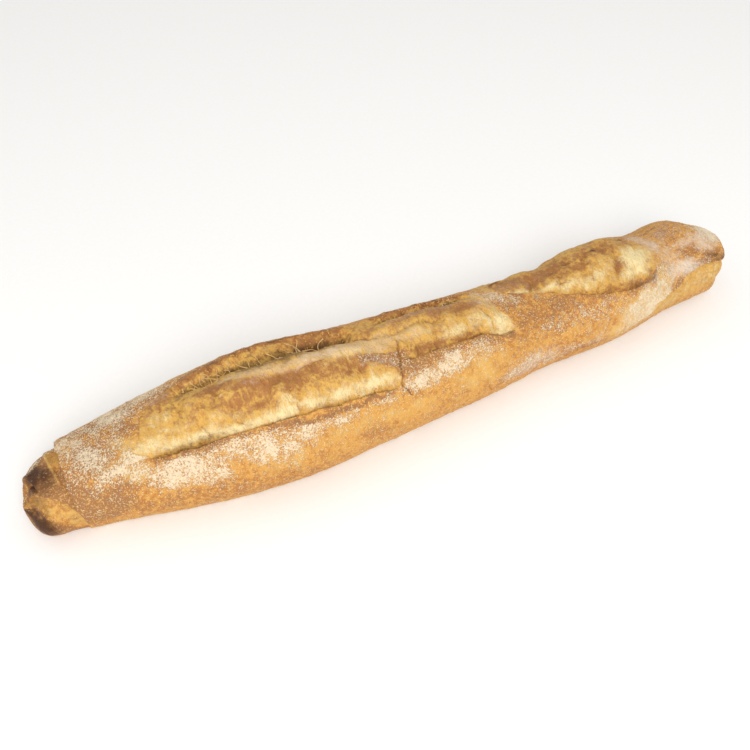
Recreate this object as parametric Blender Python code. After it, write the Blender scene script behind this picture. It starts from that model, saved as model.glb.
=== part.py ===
"""Baguette: one closed loaf with three slanting cuts, a folded left end and a burst right end.

The loaf lies along X on the plane z = 0. The left end (-X) is the one with the folded nub, and the
burst side faces -Y. Sizes below are in millimetres and degrees and are turned into metres when the
mesh is made. A place on the loaf is given by its station along X and its angle round the section:
0 is the far side (+Y), 90 the top and 180 the near side (-Y).

The section is a flattened round: a wide upper arch over a lower half that would reach below the
table and is cut off flat by it. Each cut is an opening between two lips. The crumb swells out of
it as a ridge, and between the ridge and the far lip there is a furrow.
"""
import bpy
import bmesh
import numpy as np

MM = 0.001

# ---- the unmarked loaf --------------------------------------------------------------------------
HALF_LENGTH = 225.0
HEIGHT_OVER_WIDTH = 0.74
WAIST_OVER_HEIGHT = 0.44            # height of the widest line
BELLY = 1.30                        # how far the lower half reaches down, over the waist's height
HALF_WIDTH = ((-225, 23.0), (-202, 25.5), (-180, 29.5), (-150, 34.8), (-121, 39.0), (-81, 41.3), (-40, 37.8),
              (0, 36.0), (40, 33.6), (76, 31.2), (100, 31.7), (121, 33.6), (162, 31.6), (180, 29.6), (198, 29.2),
              (225, 25.0))
MIDDLE_LINE = ((-225, 3.0), (-202, 4.6), (-150, -0.4), (-121, -3.7), (-81, -6.2), (0, -6.3), (40, -5.4), (76, -3.4),
               (100, -3.8), (121, -2.8), (162, 0.8), (180, 2.2), (198, 2.6), (225, -3.0))
LEFT_END_FROM, LEFT_END_BLUNT = -205.0, 3.2
RIGHT_END_FROM, RIGHT_END_BLUNT = 203.0, 5.5
RIGHT_TIP_LIFT = 17.0

# ---- the three cuts -----------------------------------------------------------------------------
# near, far: the two lips.  ridge: the top of the swollen crumb.  furrow: the low line behind it.
# start, end: where the opening begins and ends, at the near lip and at the far lip.
# swell: ridge height.  gap: depth just inside the near lip.  lip: height of the near lip.
# lean: how far the near lip hangs over the opening.  valley: furrow depth.  rise: far lip's height.
CUTS = (
    dict(near=((-170, 130), (-141, 134), (-122, 134), (-105, 136.5), (-85, 137.5), (-50, 139.5), (-20, 141)),
         far=((-170, 88), (-141, 69), (-105, 55), (-60, 52), (-30, 56)),
         ridge=((-165, 106), (-140, 99), (-110, 98), (-75, 103), (-45, 99), (-20, 100)),
         furrow=((-165, 90), (-140, 80), (-110, 71), (-75, 72), (-45, 69), (-30, 72)),
         start=(-167, -142), end=(-24, -30), run_in=(9, 16), run_out=(14, 12),
         swell=((-165, 0), (-140, 0.6), (-110, 2.0), (-70, 2.4), (-30, 1.0)),
         gap=((-167, 0), (-144, 5.0), (-128, 2.6), (-50, 2.2), (-24, 0)),
         lip=((-167, 0), (-150, 1.2), (-60, 1.0), (-24, 0)),
         lean=((-167, 0), (-150, 2.0), (-110, 1.2), (-60, 1.3), (-24, 0)),
         valley=((-150, 0), (-138, 2.5), (-122, 5.5), (-75, 8.0), (-52, 9.0), (-30, 0)),
         rise=((-160, 0), (-140, 0.6), (-118, 0.8), (-78, 0.4), (-42, 0.3), (-30, -0.2))),
    dict(near=((-42, 107), (-20, 117), (-13, 122), (4, 121.5), (24, 125), (33, 124), (38, 129), (48, 134), (60, 132)),
         far=((-34, 58), (0, 52), (30, 54), (44, 66), (54, 88)),
         ridge=((-34, 84), (-10, 82), (20, 86), (40, 92), (55, 104)),
         furrow=((-34, 70), (-6, 64), (22, 62), (38, 68), (54, 90)),
         start=(-42, -28), end=(56, 47), run_in=(14, 12), run_out=(6, 9),
         swell=((-34, 0.4), (0, 1.8), (30, 2.2), (57, 0.6)),
         gap=((-42, 0), (-20, 1.2), (5, 3.0), (28, 3.0), (52, 2.6), (57, 0)),
         lip=((-42, 0.4), (10, 1.3), (33, 1.6), (57, 0)),
         lean=((-42, 0), (-10, 0.8), (20, 1.6), (40, 1.0), (57, 0)),
         valley=((-30, 0), (0, 4.5), (28, 4.0), (52, 0)),
         rise=((-30, 0), (-15, 0.4), (5, 0.5), (35, 0), (50, -0.3))),
    dict(near=((50, 66), (66, 88), (82, 102.5), (98, 115.5), (115, 129.5), (129, 136.5), (145, 140.5), (155, 137.5),
               (164, 127)),
         far=((50, 40), (70, 34), (100, 28), (140, 32), (156, 60), (168, 95)),
         ridge=((50, 56), (70, 62), (100, 78), (140, 90), (168, 108)),
         furrow=((50, 44), (100, 34), (140, 38), (168, 98)),
         start=(52, 48), end=(162, 156), run_in=(20, 16), run_out=(4, 10),
         swell=((50, 0), (80, 1.0), (110, 1.4), (140, 1.6), (165, 0.2)),
         gap=((52, 0), (75, 1.4), (110, 1.8), (135, 3.0), (155, 4.6), (165, 0)),
         lip=((52, 0), (110, 0.8), (156, 1.6), (165, 0)),
         lean=((52, 0), (110, 0.8), (157, 1.8), (165, 0)),
         valley=((52, 0), (90, 0.8), (130, 0.8), (150, 0)),
         rise=((52, 0), (75, -0.6), (100, -1.6), (125, -0.9), (150, 0))))

# ---- the ends -----------------------------------------------------------------------------------
RIM = ((-90, -198), (0, -199), (90, -200.4), (141, -202), (164, -200.5), (270, -198))   # edge of the outer crust
NUB_STEP = ((-90, 0.5), (10, 1.8), (60, 3.2), (120, 3.2), (165, 3.0), (200, 1.8), (228, 0.6), (270, 0.3))
SPLIT_DEPTH = 1.7                   # split between the nub's two lobes
SPLIT_TOP = ((-225, 62), (-218, 108), (-208, 135), (-200, 172))
SPLIT_LOW = ((-225, 100), (-219, 150), (-211, 176), (-202, 214))
# lumps and hollows of the nub: station, angle, reach along, reach round, height
NUB_LUMPS = ((-205.5, 58, 2.6, 15, 1.9), (-204, 92, 2.3, 22, -1.3), (-208, 205, 7, 26, -1.8), (-219, 186, 6, 20, 1.6),
             (-225, 138, 6, 18, -1.2), (-223, 5, 5, 20, 0.9))
BURST_EDGE = ((128, 178), (146, 172), (158, 168.5), (168, 166), (178, 159), (184, 152), (194, 147.5), (205, 145.5),
              (215, 141), (225, 134))
BURST_DEPTH = ((130, 0), (160, 1.2), (178, 1.8), (200, 2.4), (225, 1.6))
BURST_LEAN = ((130, 0), (160, 0.4), (200, 1.5), (225, 0.6))
SADDLE_DEPTH = 3.4                  # dip behind the third cut
SADDLE_STATION = 171.0

# ---- mesh fineness ------------------------------------------------------------------------------
RINGS = 98
RUNS = (12, 13, 6, 15)              # points between the base, the two inner lines, the near lip and the base

CRUST_COLOUR = (0.62, 0.36, 0.15, 1.0)


def curve(knots, x):
    """Smooth curve through (station, value) pairs, level beyond the ends."""
    place, value = np.array(knots, float).T
    slope = np.gradient(value, place)
    slope[0] = slope[-1] = 0
    x = np.clip(x, place[0], place[-1])
    i = np.clip(np.searchsorted(place, x, side="right") - 1, 0, len(place) - 2)
    h = place[i + 1] - place[i]
    t = (x - place[i]) / h
    return ((1 + 2 * t) * (1 - t) ** 2 * value[i] + t * (1 - t) ** 2 * h * slope[i]
            + t ** 2 * (3 - 2 * t) * value[i + 1] + t ** 2 * (t - 1) * h * slope[i + 1])


def step(low, high, v):
    t = np.clip((v - low) / (high - low), 0, 1)
    return t * t * (3 - 2 * t)


def bell(v, middle, width):
    return np.exp(-((v - middle) / width) ** 2)


def rounding(x):
    """How much of the full section is left towards the tips."""
    left = np.clip((LEFT_END_FROM - x) / (HALF_LENGTH + LEFT_END_FROM), 0, 1)
    right = np.clip((x - RIGHT_END_FROM) / (HALF_LENGTH - RIGHT_END_FROM), 0, 1)
    return np.minimum(np.sqrt(1 - left ** LEFT_END_BLUNT), np.sqrt(1 - right ** RIGHT_END_BLUNT))


def waist_height(x):
    return WAIST_OVER_HEIGHT * HEIGHT_OVER_WIDTH * 2 * curve(HALF_WIDTH, x)


def plain_loaf(x, angle):
    a = curve(HALF_WIDTH, x)
    c = rounding(x)
    waist = waist_height(x)
    p = np.radians(angle)
    reach = np.where(np.sin(p) > 0, 2 * a * HEIGHT_OVER_WIDTH - waist, BELLY * waist)
    lift = RIGHT_TIP_LIFT * (1 - c) * (x > 0)
    return np.stack([x, curve(MIDDLE_LINE, x) + c * a * np.cos(p), waist + lift + c * reach * np.sin(p)], -1)


def outward(x, angle):
    """Unit vector standing out from the plain loaf."""
    inner = np.clip(x, -HALF_LENGTH + 0.05, HALF_LENGTH - 0.05)
    du = plain_loaf(inner + 0.02, angle) - plain_loaf(inner - 0.02, angle)
    dv = plain_loaf(inner, angle + 0.2) - plain_loaf(inner, angle - 0.2)
    n = np.cross(dv, du)
    return n / np.linalg.norm(n, axis=-1, keepdims=True) * np.sign(n[..., 1] * np.cos(np.radians(angle))
                                                                  + n[..., 2] * np.sin(np.radians(angle)))[..., None]


def per_degree(x):
    """Millimetres of crust to one degree of angle."""
    return curve(HALF_WIDTH, x) * 0.92 * np.pi / 180


def mix(pair, t):
    return pair[0] + (pair[1] - pair[0]) * t


def open_cut(cut, x, angle):
    """Offset along the crust and offset outwards that one cut makes."""
    k = per_degree(x)
    near, far, ridge = (curve(cut[w], x) for w in ("near", "far", "ridge"))
    furrow = np.clip(curve(cut["furrow"], x), far + 3, ridge - 3)
    across = np.clip((near - angle) / (near - far), 0, 1)
    start, end = mix(cut["start"], across), mix(cut["end"], across)
    shown = step(start, start + mix(cut["run_in"], across), x) * step(end, end - mix(cut["run_out"], across), x)
    inside = (near - angle) * k                 # distance from the near lip into the opening
    beyond = (angle - far) * k                  # distance from the far lip into the opening
    swell, gap, lip, lean, valley, rise = (curve(cut[w], x) for w in ("swell", "gap", "lip", "lean", "valley", "rise"))
    up = np.clip((near - angle) / (near - ridge), 0, 1)
    down = np.clip((ridge - angle) / (ridge - furrow), 0, 1)
    back = np.clip((furrow - angle) / (furrow - far), 0, 1)
    floor = -gap + (gap + swell) * np.sin(up * np.pi / 2) ** 0.75
    floor = floor - (valley + swell) * (1 - np.cos(down * np.pi / 2)) ** 1.25 + (valley + rise) * back ** 0.8
    face = step(0.0, 1.1, inside)
    out = np.where(inside <= 0, lip * np.exp(np.minimum(inside, 0) / 7.0),
                   np.where(beyond <= 0, rise * np.exp(np.minimum(beyond, 0) / 8.0), lip * (1 - face) + floor * face))
    along = np.where(inside <= 0, lean * np.exp(np.minimum(inside, 0) / 5.0), lean * np.exp(-np.maximum(inside, 0) / 0.5))
    return along * shown, out * shown


def shape_ends(x, angle):
    """Offsets of the folded left end, the dip behind the third cut and the burst side."""
    rim = curve(RIM, angle)
    past = step(rim + 0.5, rim - 2.0, x)
    top, low = curve(SPLIT_TOP, x), curve(SPLIT_LOW, x)
    s = (angle - top) / (low - top)
    out = -curve(NUB_STEP, angle) * past + 0.6 * bell(x, rim + 3.0, 3.5) * step(190, 150, angle)
    out = out - SPLIT_DEPTH * step(-0.2, 0.2, s) * step(1.3, 0.7, s) * past
    out = out + 1.5 * past * bell(angle, top - 22, 18) * step(-206, -212, x)
    out = out + 0.8 * past * bell(angle, low + 20, 22) * step(-205, -214, x)
    for station, middle, reach, spread, height in NUB_LUMPS:
        out = out + height * bell(x, station, reach) * bell(angle, middle, spread)
    out = out - step(192, 223, x) * (1.2 * bell(angle, 140, 22) + 5.0 * bell(angle, 194, 30))    # tucked right tip
    out = out - SADDLE_DEPTH * bell(x, SADDLE_STATION, 13) * bell(angle, 62, 40) + bell(x, 197, 14) * bell(angle, 75, 40)
    below = (angle - curve(BURST_EDGE, x)) * per_degree(x)
    roll = curve(((130, 0), (160, 0.6), (205, 1.5), (225, 0.6)), x)
    out = out - curve(BURST_DEPTH, x) * step(0, 1.2, below) * step(34, 12, below)
    out = out + roll * np.where(below < 0, np.exp(np.minimum(below, 0) / 6.0), 1 - step(0, 1.2, below))
    lean = curve(BURST_LEAN, x)
    along = -lean * np.where(below < 0, np.exp(np.minimum(below, 0) / 4.0), np.exp(-np.maximum(below, 0) / 0.5))
    calm = step(0.0, 0.5, rounding(x))         # the marks die out at the very tips
    return along * calm, out * calm


def loaf(x, angle):
    along, out = shape_ends(x, angle)
    for cut in CUTS:
        more_along, more_out = open_cut(cut, x, angle)
        along, out = along + more_along, out + more_out
    at = angle - along / per_degree(x)
    p = plain_loaf(x, at) + outward(x, at) * out[..., None]
    p[..., 2] = np.maximum(p[..., 2], 0)
    return p


def guide_lines(x):
    """Three lines of points that follow the lips, so that each lip is one clean edge."""
    first, second, third = (curve(cut["near"], x) for cut in CUTS)
    far = curve(((-225, 80), (-150, 75), (-126, 62), (-105, 55), (-60, 52), (-15, 54), (30, 54), (48, 60)), x)
    blend = step(44, 56, x)
    inner = far * (1 - blend) + third * blend
    inner = np.where(x > 168, curve(((168, 127), (190, 116), (225, 110)), x), inner)
    middle = np.where(x < -42, curve(((-225, 108), (-80, 105), (-42, 107)), x), second)
    middle = np.where(x > 60, curve(((60, 129), (100, 136), (130, 143), (150, 146), (166, 136), (225, 128)), x), middle)
    outer = np.where(x < -170, curve(((-225, 140), (-208, 136), (-170, 130)), x), first)
    outer = np.where(x > -20, curve(((-20, 141), (60, 148), (110, 158), (128, 178)), x), outer)
    outer = np.where(x > 128, curve(BURST_EDGE, x), outer)
    return inner, middle, outer


def ring_stations():
    """Rings are evenly spaced along the profile and closer at the left rim and the cuts' ends."""
    x = HALF_LENGTH * np.sin(np.linspace(-np.pi / 2, np.pi / 2, 20001))
    radius = curve(HALF_WIDTH, x) * rounding(x) * 0.9
    middle = (x[1:] + x[:-1]) / 2
    closeness = 1 + 1.3 * bell(middle, -201.5, 6) + 0.4 * bell(middle, -158, 10) + 0.3 * bell(middle, 160, 8)
    total = np.concatenate([[0], np.cumsum(np.hypot(np.diff(x), np.diff(radius)) * closeness)])
    return np.interp(np.linspace(0, total[-1], RINGS), total, x)


def ring_angles(x):
    """A fixed number of points between the base and the guide lines, crowded at the lines."""
    inner, middle, outer = guide_lines(x)
    stops = (np.full_like(x, -90.0), inner, middle, outer, np.full_like(x, 270.0))
    columns = []
    for i, count in enumerate(RUNS):
        t = np.arange(count) / count
        if i == 0:
            t = t + 0.62 * t * (1 - t)
        elif i == len(RUNS) - 1:
            t = t - 0.62 * t * (1 - t)
        else:
            t = t - 0.7 * np.sin(2 * np.pi * t) / (2 * np.pi)
        columns.append(stops[i][:, None] + (stops[i + 1] - stops[i])[:, None] * t[None, :])
    return np.concatenate(columns, 1)


def make_loaf(name):
    x = ring_stations()[1:-1]
    angles = ring_angles(x)
    points = loaf(np.broadcast_to(x[:, None], angles.shape).copy(), angles)
    tips = [np.array([s * HALF_LENGTH, float(curve(MIDDLE_LINE, s * HALF_LENGTH)),
                      float(waist_height(s * HALF_LENGTH)) + (RIGHT_TIP_LIFT if s > 0 else 0)]) for s in (-1, 1)]
    everything = np.concatenate([points.reshape(-1, 3), np.array(tips)])
    shift = (everything.min(0) + everything.max(0)) / 2
    shift[2] = 0

    mesh = bmesh.new()
    rings = [[mesh.verts.new((p - shift) * MM) for p in ring] for ring in points]
    left, right = (mesh.verts.new((tip - shift) * MM) for tip in tips)
    count = len(rings[0])
    for j in range(count):
        k = (j + 1) % count
        mesh.faces.new((left, rings[0][j], rings[0][k]))
        mesh.faces.new((right, rings[-1][k], rings[-1][j]))
        for near_ring, far_ring in zip(rings, rings[1:]):
            mesh.faces.new((near_ring[j], far_ring[j], far_ring[k], near_ring[k]))
    bmesh.ops.recalc_face_normals(mesh, faces=mesh.faces)
    bmesh.ops.triangulate(mesh, faces=mesh.faces[:])
    data = bpy.data.meshes.new(name)
    mesh.to_mesh(data)
    mesh.free()
    data.shade_smooth()
    piece = bpy.data.objects.new(name, data)
    bpy.context.scene.collection.objects.link(piece)
    return piece


def crust():
    material = bpy.data.materials.new("baked_crust")
    material.use_nodes = True
    shader = material.node_tree.nodes["Principled BSDF"]
    shader.inputs["Base Color"].default_value = CRUST_COLOUR
    shader.inputs["Roughness"].default_value = 0.7
    shader.inputs["Metallic"].default_value = 0.0
    material.diffuse_color = CRUST_COLOUR
    return material


for old in list(bpy.data.objects):
    bpy.data.objects.remove(old)
baguette = make_loaf("baguette")
baguette.data.materials.append(crust())
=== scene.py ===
"""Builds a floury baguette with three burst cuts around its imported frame."""

import bpy
import numpy as np
from bpy.props import FloatProperty, FloatVectorProperty, IntProperty, PointerProperty
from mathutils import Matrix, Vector


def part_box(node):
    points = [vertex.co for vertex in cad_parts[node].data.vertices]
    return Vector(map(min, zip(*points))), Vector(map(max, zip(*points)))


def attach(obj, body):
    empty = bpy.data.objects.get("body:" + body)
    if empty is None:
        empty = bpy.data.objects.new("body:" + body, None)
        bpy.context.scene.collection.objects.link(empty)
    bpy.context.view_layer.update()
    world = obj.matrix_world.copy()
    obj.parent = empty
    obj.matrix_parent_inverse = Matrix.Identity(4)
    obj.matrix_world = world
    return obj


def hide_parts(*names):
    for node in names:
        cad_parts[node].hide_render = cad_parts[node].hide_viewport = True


bl_info = {
    "name": "Baguette",
    "version": (1, 0, 0),
    "blender": (4, 5, 0),
    "location": "View3D > Sidebar > Bread",
    "description": "Adds a floury baguette with three burst cuts, its loose flour and a plain stage",
    "category": "Add Mesh",
}

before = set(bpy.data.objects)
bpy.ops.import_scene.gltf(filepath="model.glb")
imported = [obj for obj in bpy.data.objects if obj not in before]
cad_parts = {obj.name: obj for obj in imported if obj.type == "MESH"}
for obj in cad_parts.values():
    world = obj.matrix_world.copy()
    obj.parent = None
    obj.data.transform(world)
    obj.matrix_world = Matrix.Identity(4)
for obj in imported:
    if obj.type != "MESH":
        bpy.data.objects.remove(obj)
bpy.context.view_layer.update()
CAD_LOW, CAD_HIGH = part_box("baguette")
MM = 0.001
HALF_LENGTH = round((CAD_HIGH.x - CAD_LOW.x) / 2, 3) / MM


def linear(code):
    """Turns an sRGB hex colour into linear red, green, blue and alpha."""
    parts = [int(code[i:i + 2], 16) / 255 for i in (1, 3, 5)]
    return [c / 12.92 if c <= 0.04045 else ((c + 0.055) / 1.055) ** 2.4 for c in parts] + [1.0]


# ---- settings ----
def colour(name, code, description):
    """A colour setting, given as sRGB hex."""
    return FloatVectorProperty(name=name, description=description, subtype="COLOR", size=4, min=0, max=1,
                               default=linear(code))


def width(name, metres, low, high, description):
    """A small width, set in metres."""
    return FloatProperty(name=name, description=description, default=metres, min=low, max=high, unit="LENGTH",
                         precision=5)


class LoafSettings(bpy.types.PropertyGroup):
    """Sizes and colours of the loaf itself."""
    rings: IntProperty(name="Rings", description="Rings of points along the loaf",
                       default=520, min=60, max=560)
    relief: FloatProperty(name="Relief", description="Strength of the small dents, ripples and ragged edges",
                          default=1.0, min=0, max=2)
    crust: colour("Crust", "#d29a4e", "Unfloured outer crust of the flanks")
    deep_crust: colour("Deep crust", "#b5773c", "Hotter patches of the outer crust")
    toast: colour("Toasted crust", "#a07047", "Brown toasted crust")
    gold: colour("Golden crust", "#dfb263", "Thin golden crust over stretched dough")
    crumb: colour("Burst crumb", "#d8a855", "Golden crumb inside the cuts")
    fresh: colour("Fresh crumb", "#edd8a2", "Palest crumb, that opened last")
    crest: colour("Browned ridge", "#a56e3e", "Browned top of the swollen crumb")
    tan: colour("Dry slope", "#dcb987", "Dull dry crumb behind the ridge")
    # painted shade: this tone is laid where shade falls, in the furrows, pits, slits under the near lips, the
    # seam and the nub's set-in bands
    shade: colour("Furrow", "#826231", "Moist crumb deep in the furrows")
    # also painted shade: besides scorched edges, this tone darkens the pits and the deepest holes of the
    # furrows and clefts
    char: colour("Scorched edge", "#4e2d14", "Scorched edges of lips and folds")
    flour: colour("Flour", "#ebdbbe", "Baked-on flour")
    haze: colour("Flour haze", "#e8dbca", "Thin smooth veil of flour")


class FlourSettings(bpy.types.PropertyGroup):
    """Clumps of flour standing on the crust."""
    clump: width("Clump size", 0.00062, 0.0002, 0.002, "Width of a usual clump of flour")
    per_area: FloatProperty(name="Clumps per square metre",
                            description="Clumps where the flour lies thickest", default=1.1e6, min=0, max=3e6)
    seed: IntProperty(name="Seed", description="Another seed gives another scatter", default=7)


class TornSettings(bpy.types.PropertyGroup):
    """Strands and crumbs of torn dough in the cuts."""
    strands: IntProperty(name="Strands", description="Strands across the furrows", default=44, min=0, max=400)
    strand: width("Strand width", 0.00036, 0.0002, 0.002, "Width of a usual strand")
    crumb: width("Crumb size", 0.0012, 0.0005, 0.004, "Width of a usual crumb")
    per_area: FloatProperty(name="Crumbs per square metre", description="Crumbs where the wall is most torn",
                            default=4.5e5, min=0, max=2e6)
    seed: IntProperty(name="Seed", description="Another seed gives other strands and crumbs", default=11)


class StageSettings(bpy.types.PropertyGroup):
    """Floor, light and camera."""
    floor: colour("Floor", "#fbfaf8", "Matt paper sweep")
    sky: FloatProperty(name="Surround light", description="Strength of the even light from all sides",
                       default=0.735, min=0)
    key: FloatProperty(name="Key light", description="Power of the big soft light",
                       default=13.7, min=0, unit="POWER")
    lens: FloatProperty(name="Lens", description="Focal length for a 36 mm wide sensor, in millimetres",
                        default=46.0, min=10)
    distance: FloatProperty(name="Distance", description="Camera to loaf",
                            default=0.536, min=0.1, unit="LENGTH")


# ---- the unmarked loaf, in millimetres and degrees ----
# A place is a station along X and an angle round the section: 0 far side, 90 top, 180 near side.
HEIGHT_OVER_WIDTH, WAIST_OVER_HEIGHT, BELLY = 0.74, 0.44, 1.30
LEFT_END_FROM, LEFT_END_BLUNT = -205.0, 3.2
RIGHT_END_FROM, RIGHT_END_BLUNT = 203.0, 5.5
RIGHT_TIP_LIFT = 17.0
ROUND_MM = 0.65                     # usual millimetres of crust to one degree, for noise and cracks
MAP_ROUND_MM = 0.62                 # the same for the flat map
SOLID_RINGS, SOLID_ROUND = 260, (28, 26, 12, 30)    # points of the frame's solid, along and between lips
FINE_ROUND = (54, 54, 22, 60)       # points between the lips of the finished loaf
HALF_WIDTH = ((-225, 23.0), (-202, 25.5), (-180, 29.5), (-150, 34.8), (-121, 39.0), (-81, 41.3), (-40, 37.8),
              (0, 36.0), (40, 33.6), (76, 31.2), (100, 31.7), (121, 33.6), (162, 31.6), (180, 29.6),
              (198, 29.2), (225, 25.0))
MIDDLE_LINE = ((-225, 3.0), (-202, 4.6), (-150, -0.4), (-121, -3.7), (-81, -6.2), (0, -6.3), (40, -5.4),
               (76, -3.4), (100, -3.8), (121, -2.8), (162, 0.8), (180, 2.2), (198, 2.6), (225, -3.0))

# ---- the three cuts ----
# near, far: the two lips.  ridge: the top of the swollen crumb.  furrow: the low line behind it.
# start, end: where the opening begins and ends, at the near lip and at the far lip.
# bare_from, bare_to, bare_soft: the crumb's own edge, where it isn't the opening's.
# swell: ridge height.  gap: depth just inside the near lip.  lip: height of the near lip.
# lean: how far the near lip hangs over the opening.  valley: furrow depth.  rise: far lip's height.
# slit: shade just inside the near lip.  brown: toast along it.
CUTS = {
    "first": dict(
        near=((-170, 127), (-161, 129), (-141, 131.5), (-122, 131.5), (-105, 134), (-85, 135), (-50, 137),
              (-20, 139)),
        far=((-170, 88), (-150, 75), (-141, 69), (-126, 62), (-105, 55), (-60, 52), (-30, 56)),
        ridge=((-165, 106), (-140, 99), (-110, 98), (-75, 103), (-45, 99), (-20, 100)),
        furrow=((-165, 90), (-140, 80), (-110, 71), (-75, 72), (-45, 69), (-30, 72)),
        start=(-167, -142), end=(-24, -30), run_in=(9, 16), run_out=(14, 12), slit=0.5, brown=0.9,
        bare_from=((62, -136), (70, -141), (76, -149), (85, -157), (96, -161), (108, -163), (118, -166),
                   (128, -162)),
        swell=((-165, 0), (-140, 0.6), (-110, 2.0), (-70, 2.4), (-30, 1.0)),
        gap=((-167, 0), (-156, 3.4), (-144, 5.2), (-128, 2.6), (-100, 2.4), (-50, 2.2), (-32, 1.4), (-24, 0)),
        lip=((-167, 0), (-150, 1.2), (-110, 0.8), (-60, 1.1), (-32, 0.8), (-24, 0)),
        lean=((-167, 0), (-150, 2.0), (-110, 1.2), (-60, 1.3), (-32, 0.8), (-24, 0)),
        valley=((-150, 0), (-138, 2.5), (-122, 5.5), (-100, 6.5), (-75, 8.0), (-52, 9.0), (-40, 7.0),
                (-30, 0)),
        rise=((-160, 0), (-140, 0.6), (-118, 0.8), (-98, 0.6), (-78, 0.4), (-60, 0.3), (-42, 0.3),
              (-30, -0.2))),
    "second": dict(
        near=((-42, 106), (-27, 108), (-20, 116), (-13, 121), (4, 119), (24, 122), (33, 121), (38, 126),
              (48, 131), (60, 130)),
        far=((-34, 58), (-15, 54), (0, 52), (30, 54), (44, 66), (54, 88)),
        ridge=((-34, 84), (-10, 82), (20, 86), (40, 92), (55, 104)),
        furrow=((-34, 70), (-6, 64), (22, 62), (38, 68), (54, 90)),
        start=(-42, -28), end=(56, 47), run_in=(14, 12), run_out=(6, 9), slit=0.5, brown=0.9,
        swell=((-34, 0.4), (0, 1.8), (30, 2.2), (57, 0.6)),
        gap=((-42, 0), (-20, 1.2), (5, 3.0), (28, 3.0), (36, 2.4), (52, 2.6), (57, 0)),
        lip=((-42, 0.4), (-15, 0.6), (10, 1.3), (33, 1.6), (44, 0.8), (57, 0)),
        lean=((-42, 0), (-10, 0.8), (20, 1.6), (40, 1.0), (57, 0)),
        valley=((-30, 0), (-18, 2.5), (0, 4.5), (28, 4.0), (42, 1.5), (52, 0)),
        rise=((-30, 0), (-15, 0.4), (5, 0.5), (35, 0.0), (50, -0.3))),
    "third": dict(
        near=((50, 66), (55, 73), (66, 87), (82, 101), (98, 114), (115, 127.5), (129, 134), (145, 137.5),
              (155, 134), (164, 125)),
        far=((50, 40), (70, 34), (100, 28), (140, 32), (156, 60), (168, 95)),
        ridge=((50, 56), (70, 62), (100, 78), (140, 90), (168, 108)),
        furrow=((50, 44), (70, 40), (100, 34), (140, 38), (168, 98)),
        start=(52, 48), end=(162, 156), run_in=(20, 16), run_out=(4, 10), slit=0.0, brown=0.5, bare_soft=3.5,
        bare_to=((40, 158), (85, 160), (95, 165), (105, 168), (115, 165), (125, 162), (135, 158)),
        swell=((50, 0), (80, 1.0), (110, 1.4), (140, 1.6), (165, 0.2)),
        gap=((52, 0), (75, 1.4), (110, 1.8), (135, 3.0), (155, 5.0), (165, 0)),
        lip=((52, 0), (80, 0.5), (110, 0.8), (140, 1.4), (156, 1.6), (165, 0)),
        lean=((52, 0), (80, 0.6), (110, 0.8), (140, 1.2), (157, 1.8), (165, 0)),
        valley=((52, 0), (90, 0.8), (130, 0.8), (150, 0)),
        rise=((52, 0), (75, -0.6), (100, -1.6), (125, -0.9), (150, 0)))}

# ---- the ends, cracks and seam ----
# left end: the crust's edge round the nub, how far the nub is set in, the groove in its upper lobe,
# the split between its lobes, and the fold that follows the edge
RIM = ((-90, -198), (0, -199), (50, -200), (90, -200.4), (141, -202), (164, -200.5), (191, -198), (270, -198))
NUB_STEP = ((-90, 0.5), (10, 1.8), (60, 3.2), (120, 3.2), (165, 3.0), (200, 1.8), (228, 0.6), (270, 0.3))
NOTCH = ((-225, 60), (-221, 76), (-218, 106), (-213, 123))
SPLIT_TOP = ((-225, 102), (-221, 110), (-218, 118), (-213, 129), (-208, 140), (-204, 153), (-200, 174))
SPLIT_LOW = ((-225, 132), (-222, 138), (-219, 152), (-216, 163), (-211, 176), (-207, 194), (-202, 214))
FOLD = ((40, -207), (90, -206.5), (112, -205.5), (150, -203), (170, -202))
# knobs and hollows of both ends as (station, angle, reach along, reach round, height)
END_BUMPS = ((-205.5, 58, 2.6, 15, 1.9), (-221.5, 62, 2.5, 13, 1.0), (-204, 92, 2.3, 22, -1.3),
             (-208, 205, 7, 26, -1.8), (-225, 146, 6, 20, -2.6), (-219, 186, 6, 20, 1.6),
             (-223, 5, 5, 20, 0.9), (-223, 228, 6, 26, 0.5), (171, 62, 13, 40, -3.4), (197, 75, 14, 40, 1.0))
# right end: the crust's edge over the burst side, how far it leans out, the hollow under it, its rolled rim
BURST_EDGE = ((128, 180), (146, 174), (158, 171), (168, 168), (178, 162), (184, 155.5), (194, 151.5),
              (205, 150), (215, 145), (225, 136))
BURST_LEAN = ((130, 0), (160, 0.4), (200, 1.5), (225, 0.6))
BURST_DEPTH = ((130, 0), (146, 0.5), (160, 1.2), (178, 1.8), (200, 2.4), (225, 1.6))
BURST_ROLL = ((130, 0), (160, 0.6), (180, 1.0), (205, 1.5), (225, 0.6))
# the seam is a groove, with painted shade laid in it
SEAM = ((-41, 78), (-29, 86), (-14, 90), (2, 90), (16, 93))      # where the crust of the first two cuts meets
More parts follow.
